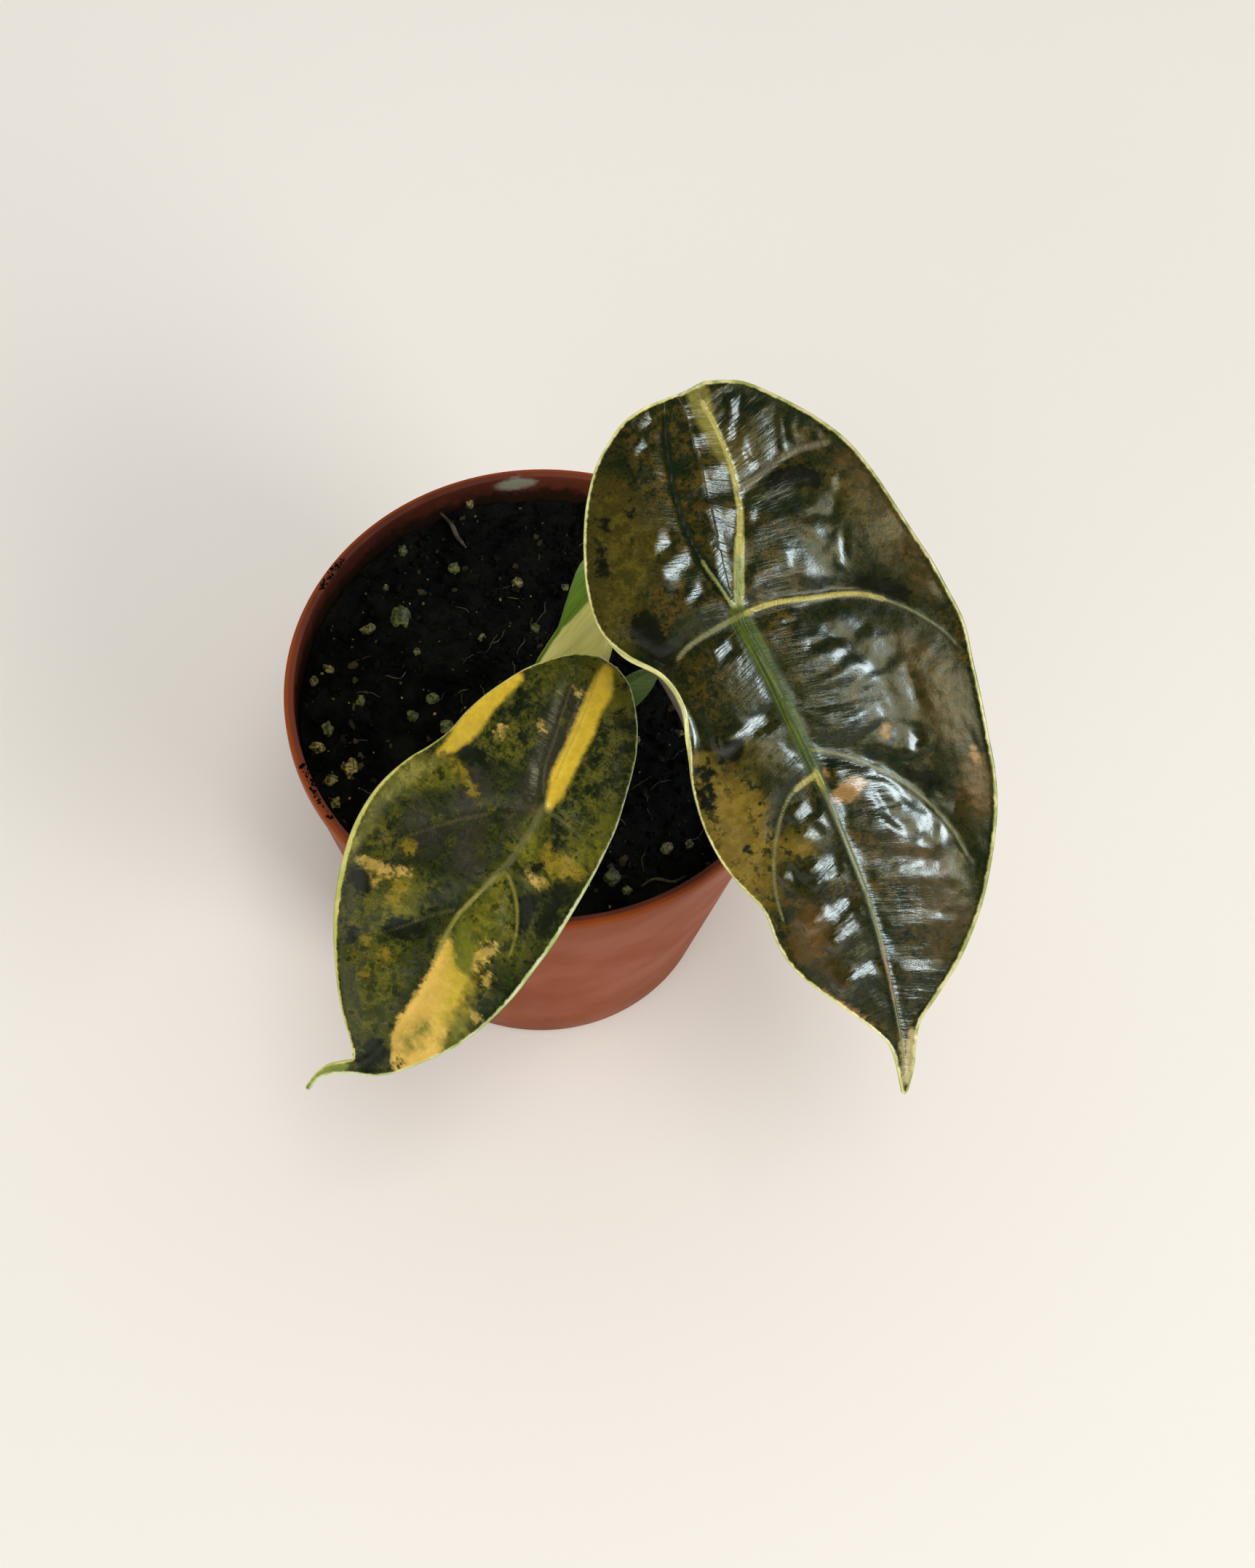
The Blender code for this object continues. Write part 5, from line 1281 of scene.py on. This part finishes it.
def build_pot():
    """Turns the pot in fine steps and cuts the drain holes."""
    inner_floor = FOOT_LIFT + FLOOR
    bead_base = POT_HEIGHT - BEAD_HEIGHT
    bead_inner = RIM_RADIUS - RIM_WIDTH
    foot_inner = FOOT_RADIUS - FOOT_WIDTH
    profile = [
        (0.0, inner_floor),
        (wall_radius(inner_floor) - WALL - INNER_CHAMFER, inner_floor),
        (wall_radius(inner_floor + 1) - WALL, inner_floor + 1.0),
    ]
    for part in np.linspace(0.1, 1.0, INNER_STEPS):
        height = inner_floor + 1.0 + (bead_base - inner_floor - 1.0) * part
        profile.append((wall_radius(height) - WALL, height))
    profile += [
        (bead_inner, POT_HEIGHT - RIM_CHAMFER), (bead_inner + 0.15, POT_HEIGHT - 0.18),
        (bead_inner + 0.5, POT_HEIGHT), (RIM_RADIUS - 0.5, POT_HEIGHT),
        (RIM_RADIUS - 0.15, POT_HEIGHT - 0.18), (RIM_RADIUS, POT_HEIGHT - RIM_CHAMFER),
        (RIM_RADIUS, bead_base + 0.3), (RIM_RADIUS - 0.15, bead_base - 0.05),
    ]
    for part in np.linspace(0.0, 1.0, OUTER_STEPS):
        height = bead_base - 0.2 + (FOOT_RISE - bead_base + 0.2) * part
        profile.append((wall_radius(height), height))
    profile += [
        (FOOT_RADIUS - 0.35, 0.3), (FOOT_RADIUS - FOOT_CHAMFER, 0.0), (foot_inner, 0.0),
        (foot_inner - 1.0, FOOT_LIFT), (PAD_RADIUS + 1.0, FOOT_LIFT), (PAD_RADIUS, 0.0), (0.0, 0.0),
    ]
    edges = [(k, k + 1) for k in range(len(profile) - 1)]
    pot = new_object("nursery_pot", [(r, 0.0, z) for r, z in profile], edges, [])
    turn = pot.modifiers.new("turn", "SCREW")
    turn.steps = POT_SEGMENTS
    turn.render_steps = POT_SEGMENTS
    turn.use_merge_vertices = True
    turn.merge_threshold = MERGE_DISTANCE
    drills = []
    for index in range(DRAIN_COUNT):
        angle = math.tau * index / DRAIN_COUNT + DRAIN_TURN
        across, back = DRAIN_CIRCLE * math.cos(angle) * MM, DRAIN_CIRCLE * math.sin(angle) * MM
        bpy.ops.mesh.primitive_cylinder_add(
            vertices=DRILL_SIDES, radius=DRAIN_RADIUS * MM, depth=DRILL_LENGTH * MM,
            rotation=(0.0, 0.0, angle), location=(across, back, 2 * MM))
        drills.append(bpy.context.object)
        cut = pot.modifiers.new(f"drain_{index}", "BOOLEAN")
        cut.operation = "DIFFERENCE"
        cut.object = drills[-1]
    turned_mesh = bpy.data.meshes.new_from_object(
        pot.evaluated_get(bpy.context.evaluated_depsgraph_get()))
    pot.modifiers.clear()
    pot.data = turned_mesh
    pot.data.materials.clear()
    for drill in drills:
        bpy.data.objects.remove(drill, do_unlink=True)
    shade_smooth(pot, POT_SHARP)
    settle(pot, pot_material(), "nursery_pot")


def build_soil(peat):
    """Makes the peat bed as one closed plug with a fine crumbly top."""
    edge = wall_radius(POT_HEIGHT - SOIL_DROP) - WALL - GAP
    floor = FOOT_LIFT + FLOOR + GAP
    rings = []
    for radius in np.arange(SOIL_RING_STEP, edge, SOIL_RING_STEP):
        rings.append([(x, y, loose_level(x, y)) for x, y, _ in circle(radius, 0.0, SOIL_SIDES)])
    rings.append([(x, y, soil_level(x, y) - SOIL_EDGE_DROP) for x, y, _ in circle(edge, 0.0, SOIL_SIDES)])
    for height in (POT_HEIGHT - SOIL_DROP - SOIL_SIDE_DROP, POT_HEIGHT / 2, floor + 1.0):
        rings.append(circle(wall_radius(height) - WALL - GAP, height, SOIL_SIDES))
    rings.append(circle(wall_radius(floor) - WALL - GAP - 1.0, floor, SOIL_SIDES))
    soil = make_piece("soil_bed", *ring_stack(rings), sharp=SOIL_SHARP, turn_out=True)
    put_values(soil, "tint", np.zeros(len(soil.data.vertices)))
    settle(soil, peat, "soil")


def ball(subdivisions):
    """Points and triangles of a round ball of radius 1."""
    mesh = bmesh.new()
    bmesh.ops.create_icosphere(mesh, subdivisions=subdivisions, radius=1.0)
    points = np.array([vertex.co[:] for vertex in mesh.verts])
    mesh.verts.index_update()
    faces = np.array([[vertex.index for vertex in face.verts] for face in mesh.faces])
    mesh.free()
    return points, faces


def turned(draw):
    """A turn about random axes."""
    angles = [draw.uniform(0.0, math.tau) for _ in range(3)]
    matrix = Matrix.Rotation(angles[0], 3, "X") @ Matrix.Rotation(angles[1], 3, "Y")
    return np.array(matrix @ Matrix.Rotation(angles[2], 3, "Z"))


def scatter(name, spots, subdivisions, draw, roughness, material):
    """Joins many lumpy grains into one mesh. A spot holds its place, radius, stretch and tint."""
    plain, triangles = ball(subdivisions)
    shapes = []
    for seed in range(GRAIN_SHAPES):
        lumps = [noise.noise(Vector(p * 1.7) + Vector((seed * 3.1, 0.0, seed))) for p in plain]
        shapes.append(plain * (1.0 + roughness * np.array(lumps))[:, None])
    points, faces, tints = [], [], []
    for index, (place, radius, stretch, tint) in enumerate(spots):
        shape = shapes[index % len(shapes)] * np.array(stretch)
        points.append(shape @ turned(draw).T * radius + np.array(place))
        faces.append(triangles + index * len(plain))
        tints.append(np.full(len(plain), float(tint)))
    item = make_piece(name, np.vstack(points), np.vstack(faces).tolist(), GRAIN_SHARP)
    put_values(item, "tint", np.concatenate(tints))
    settle(item, material)


def random_spot(draw, reach, clear):
    """A place on the soil, outside a distance from the crown."""
    while True:
        angle = draw.uniform(0.0, math.tau)
        radius = reach * math.sqrt(draw.random())
        x, y = radius * math.cos(angle), radius * math.sin(angle)
        if to_crown(x, y) > clear:
            return x, y


def on_soil(x, y, radius, lift, stretch, tint):
    """A grain on the soil, with its middle a share of its radius above the surface."""
    return (x, y, loose_level(x, y) + lift * radius), radius, stretch, tint


def shows_best(x, y):
    """Whether a place is in the soil that the photograph shows best."""
    return x < SHOWN_LEFT or (x > SHOWN_RIGHT and y < SHOWN_FRONT)


def build_crumbs(draw, peat):
    """Scatters peat crumbs over the bed and a few over the rim."""
    large, small = [], []
    for _ in range(CRUMB_COUNT):
        x, y = random_spot(draw, CRUMB_REACH, CORM_RADIUS + 0.5)
        size = draw.uniform(*CRUMB_RADII) * draw.uniform(0.6, 1.0)
        stretch = (1.0, draw.uniform(0.5, 0.9), draw.uniform(0.35, 0.8))
        large.append(on_soil(x, y, size, 0.25, stretch, draw.random() ** 5))
    for _ in range(DUST_COUNT):
        x, y = random_spot(draw, DUST_REACH, CORM_RADIUS - 1.0)
        size = draw.uniform(*DUST_RADII)
        stretch = (1.0, draw.uniform(0.4, 0.9), draw.uniform(0.4, 0.9))
        small.append(on_soil(x, y, size, 0.3, stretch, draw.random() ** 4))
    band = [RIM_RADIUS - inset for inset in RIM_CRUMB_INSETS]
    for start, end in RIM_CRUMBS:
        for _ in range(RIM_CRUMB_COUNT):
            t = draw.random()
            x, y = (a + (b - a) * t for a, b in zip(start, end))
            factor = draw.uniform(*band) / math.hypot(x, y)
            size = draw.uniform(*RIM_CRUMB_RADII)
            place = (x * factor, y * factor, POT_HEIGHT + 0.25 * size)
            small.append((place, size, (1.0, 0.7, 0.6), draw.random() ** 4))
    scatter("peat_crumbs", large, 2, draw, 0.75, peat)
    scatter("peat_dust", small, 1, draw, 0.6, peat)


def build_granules(draw):
    """Places the granules that the photograph shows, some where it shows none, and fine grains."""
    spots = [on_soil(x, y, radius, 0.35, GRANULE_STRETCH, tint) for x, y, radius, tint in GRANULES]
    for _ in range(EXTRA_GRANULES):
        x, y = random_spot(draw, EXTRA_REACH, CORM_RADIUS + 2.0)
        if shows_best(x, y):
            continue
        radius = draw.uniform(*EXTRA_RADII)
        spots.append(on_soil(x, y, radius, 0.3, GRANULE_STRETCH, draw.random()))
    for _ in range(GRAIN_COUNT):
        x, y = random_spot(draw, GRAIN_REACH, CORM_RADIUS)
        radius = draw.uniform(*GRAIN_RADII)
        spots.append(on_soil(x, y, radius, 0.4, (1.0, 0.7, 0.7), draw.random()))
    scatter("granules", spots, 3, draw, 0.55, granule_material())


def tube(path, radii, sides):
    """Rings round a path for a thin fibre."""
    rings = []
    for index, centre in enumerate(path):
        ahead = np.array(path[min(index + 1, len(path) - 1)]) - np.array(path[max(index - 1, 0)])
        ahead = unit(ahead)
        level = np.cross(ahead, (0.0, 0.0, 1.0))
        level = level / max(np.linalg.norm(level), 1e-6)
        over = np.cross(level, ahead)
        turns = [math.tau * k / sides for k in range(sides)]
        rings.append([np.array(centre) + radii[index] * (math.cos(a) * level + math.sin(a) * over)
                      for a in turns])
    return rings


def build_fibres(draw):
    """Lays root hairs and splinters on the peat."""
    points, faces = [], []

    def lay(path, radius):
        span = len(path) - 0.2
        radii = [radius * (0.35 + 0.65 * math.sin(math.pi * (k + 0.4) / span)) for k in range(len(path))]
        more, sides = ring_stack(tube(path, radii, FIBRE_SIDES))
        start = len(points)
        points.extend(more)
        faces.extend(tuple(start + k for k in face) for face in sides)

    for route, radius in ((SPLINTER, SPLINTER_RADIUS), (ROOT_FIBRE, ROOT_RADIUS)):
        knots = [np.array((x, y, 0.0)) for x, y in route]
        path = [curve_through(knots, s) for s in np.linspace(0, len(knots) - 1, 13)]
        lay([(p[0], p[1], loose_level(p[0], p[1]) + 0.5 * radius + 0.25) for p in path], radius)
    for _ in range(FIBRE_COUNT):
        x, y = random_spot(draw, FIBRE_REACH, CORM_RADIUS + 1.0)
        heading = draw.uniform(0.0, math.tau)
        path = []
        for _ in range(FIBRE_KNOTS):
            path.append((x, y, loose_level(x, y) + 0.28))
            heading += draw.uniform(-0.5, 0.5)
            x += FIBRE_LEG * math.cos(heading)
            y += FIBRE_LEG * math.sin(heading)
        lay(path, draw.uniform(*FIBRE_RADII))
    settle(make_piece("root_fibres", points, faces, GRAIN_SHARP), fibre_material())


def build_corm():
    """Turns the crown with papery scales round its shoulder."""
    rings = []
    for share, rise in CORM_STAGES:
        ring = []
        level = POT_HEIGHT - SOIL_DROP + rise
        for k, (x, y, z) in enumerate(circle(CORM_RADIUS * share, level, CORM_SIDES, CORM_CENTRE)):
            angle = math.tau * k / CORM_SIDES
            flake, fine = (max(noise.noise(Vector((size * math.cos(angle), size * math.sin(angle),
                                                   rise * high))), 0.0)
                           for size, high in ((2.2, 0.8), (9, 2.0)))
            inwards = 1.0 - 0.05 * flake - 0.02 * fine
            drop = 0.35 * fine if rise > 0.0 else 0.0
            ring.append((CORM_CENTRE[0] + (x - CORM_CENTRE[0]) * inwards,
                         CORM_CENTRE[1] + (y - CORM_CENTRE[1]) * inwards, z - drop))
        rings.append(ring)
    corm = make_piece("corm", *ring_stack(rings), sharp=CORM_SHARP)
    settle(corm, corm_material(), "corm")


def stripe_on_large(height):
    """Half-width of the large stalk's stripe at a height."""
    return float(np.interp(height, *np.array(STRIPE_WIDTHS).T))


def build_stalk(name, knots, end_normal, stripe_width, slot):
    """Lofts a stalk in fine steps, with shallow lengthwise ribs and a stripe field."""
    centres = [np.array(knot[0], dtype=float) for knot in knots]
    sizes = [np.array(knot[1:], dtype=float) for knot in knots]
    last = len(knots) - 1
    stations = np.linspace(0.0, last, last * STALK_STEPS + 1)
    path = [curve_through(centres, s) for s in stations]
    shape = [curve_through(sizes, s) for s in stations]
    first, second = (curve_through(centres, s) for s in np.linspace(0.0, last, last * 3 + 1)[:2])
    rings, around, travelled, stripes = [], [], [], []
    length = 0.0
    for index, (centre, (wide, deep, channel)) in enumerate(zip(path, shape)):
        along = unit(path[min(index + 1, len(path) - 1)] - path[max(index - 1, 0)])
        if index == 0:
            along = unit(unit(second - first) + np.array((0.0, 0.0, 1.0)))
        if end_normal is not None:
            turn = float(soft_step(stations[index], last - 1.0, last))
            along = unit(along * (1.0 - turn) + end_normal * turn)
        if index == 0:
            centre = centre - along * STALK_OVERLAP
        elif index == len(path) - 1 and end_normal is not None:
            centre = centre + along * STALK_OVERLAP
        side = unit(np.cross((0.0, 1.0, 0.0), along))
        rear = np.cross(along, side)
        length += float(np.linalg.norm(centre - path[max(index - 1, 0)]))
        ring = []
        for k in range(STALK_SIDES):
            angle = math.tau * k / STALK_SIDES
            from_front = abs(math.remainder(angle + math.pi / 2, math.tau))
            dent = 1.0 - max(channel, 0.0) * math.exp(-(from_front / 0.6) ** 2)
            ribs = 0.012 * (1.0 + math.sin(angle * 13.0 + 0.05 * length))
            out = side * wide * math.cos(angle) + rear * deep * dent * math.sin(angle)
            ring.append(centre + out * (1.0 - ribs * (0.6 + 0.4 * math.sin(angle * 5.0))))
            around.append(angle * 0.5 * (wide + deep))
            travelled.append(length)
            from_left = abs(math.remainder(angle - math.pi, math.tau))
            stripes.append((from_left - stripe_width(centre[2])) * 0.5 * (wide + deep))
        rings.append(ring)
    around += [0.0, 0.0]
    travelled += [0.0, length]
    stripes += [5.0, 5.0]
    stalk = make_piece(name, *ring_stack(rings), sharp=STALK_SHARP)
    put_vectors(stalk, "stalk", (around, travelled, np.zeros(len(around))))
    put_values(stalk, "stripe", stripes)
    settle(stalk, stalk_material(slot + "_fine", *STALK_COLOURS[slot]), name)


def place_lamp(name, direction, distance, size, radiance, colour, mirrored):
    """Puts a soft panel that faces the plant."""
    data = bpy.data.lights.new(name, "AREA")
    data.shape = "RECTANGLE"
    data.size, data.size_y = size
    data.energy = radiance * math.pi * size[0] * size[1]
    data.color = colour
    item = bpy.data.objects.new(name, data)
    towards = Vector(direction).normalized()
    item.location = Vector(PLANT_MIDDLE) + towards * distance
    item.rotation_mode = "QUATERNION"
    item.rotation_quaternion = towards.to_track_quat("Z", "Y")
    item.visible_glossy = mirrored
    item.visible_diffuse = not mirrored
    bpy.context.scene.collection.objects.link(item)


def build_surroundings():
    """A pale room for soft light, which glossy leaves mirror as a dim one with a paler foot."""
    world = bpy.data.worlds.new("studio")
    bpy.context.scene.world = world
    world.use_nodes = True
    tree = world.node_tree
    background = tree.nodes["Background"]
    direction, height, mirrored, path, level = (tree.nodes.new("ShaderNode" + kind) for kind in (
        "TexCoord", "SeparateXYZ", "MapRange", "LightPath", "Mix"))
    mirrored.interpolation_type = "SMOOTHSTEP"
    for key, number in (("From Min", DARK_ABOVE), ("From Max", PALE_BELOW), ("To Min", DARK_ROOM),
                        ("To Max", PALE_FOOT)):
        mirrored.inputs[key].default_value = number
    level.inputs[2].default_value = ROOM_LIGHT
    for source, socket in ((direction.outputs["Generated"], height.inputs[0]),
                           (height.outputs[2], mirrored.inputs["Value"]),
                           (path.outputs["Is Glossy Ray"], level.inputs[0]),
                           (mirrored.outputs[0], level.inputs[3]),
                           (level.outputs[0], background.inputs["Strength"])):
        tree.links.new(source, socket)
    background.inputs["Color"].default_value = (*WARM_WHITE, 1.0)


def build_stage():
    """Sets the floor, soft studio light and the camera at the photograph's angle."""
    bpy.ops.mesh.primitive_plane_add(size=TABLE_SIZE, location=(0.0, 0.0, -TABLE_DROP))
    floor = bpy.context.object
    floor.name = "floor"
    floor.data.materials.append(floor_material())
    for name, lamp in LAMPS.items():
        place_lamp(name, *lamp)
    build_surroundings()
    data = bpy.data.cameras.new("camera")
    data.lens = CAMERA_LENS
    data.sensor_width = 36.0
    data.clip_start = 0.01
    camera = bpy.data.objects.new("camera", data)
    matrix = Matrix((CAMERA_RIGHT, CAMERA_UP, CAMERA_BACK)).transposed().to_4x4()
    matrix.translation = Vector(CAMERA_PLACE) * MM
    camera.matrix_world = matrix
    bpy.context.scene.collection.objects.link(camera)
    bpy.context.scene.camera = camera
    bpy.context.scene.view_settings.view_transform = "Standard"


def main():
    build_pot()
    draw = random.Random(SEED)
    peat = peat_material()
    build_soil(peat)
    build_crumbs(draw, peat)
    build_granules(draw)
    build_fibres(draw)
    build_corm()
    build_stalk("petiole_large", PETIOLE_LARGE, blade_frame(LARGE)[2], stripe_on_large, "stalk_cream")
    build_stalk("petiole_small", PETIOLE_SMALL, blade_frame(SMALL)[2], lambda height: NO_STRIPE,
                "stalk_green")
    build_stalk("new_shoot", NEW_SHOOT, None, lambda height: SHOOT_STRIPE, "shoot_green")
    build_blade("leaf_blade_large", LARGE, "blade_large", LARGE_LOOK)
    build_blade("leaf_blade_small", SMALL, "blade_small", SMALL_LOOK)
    build_stage()


main()
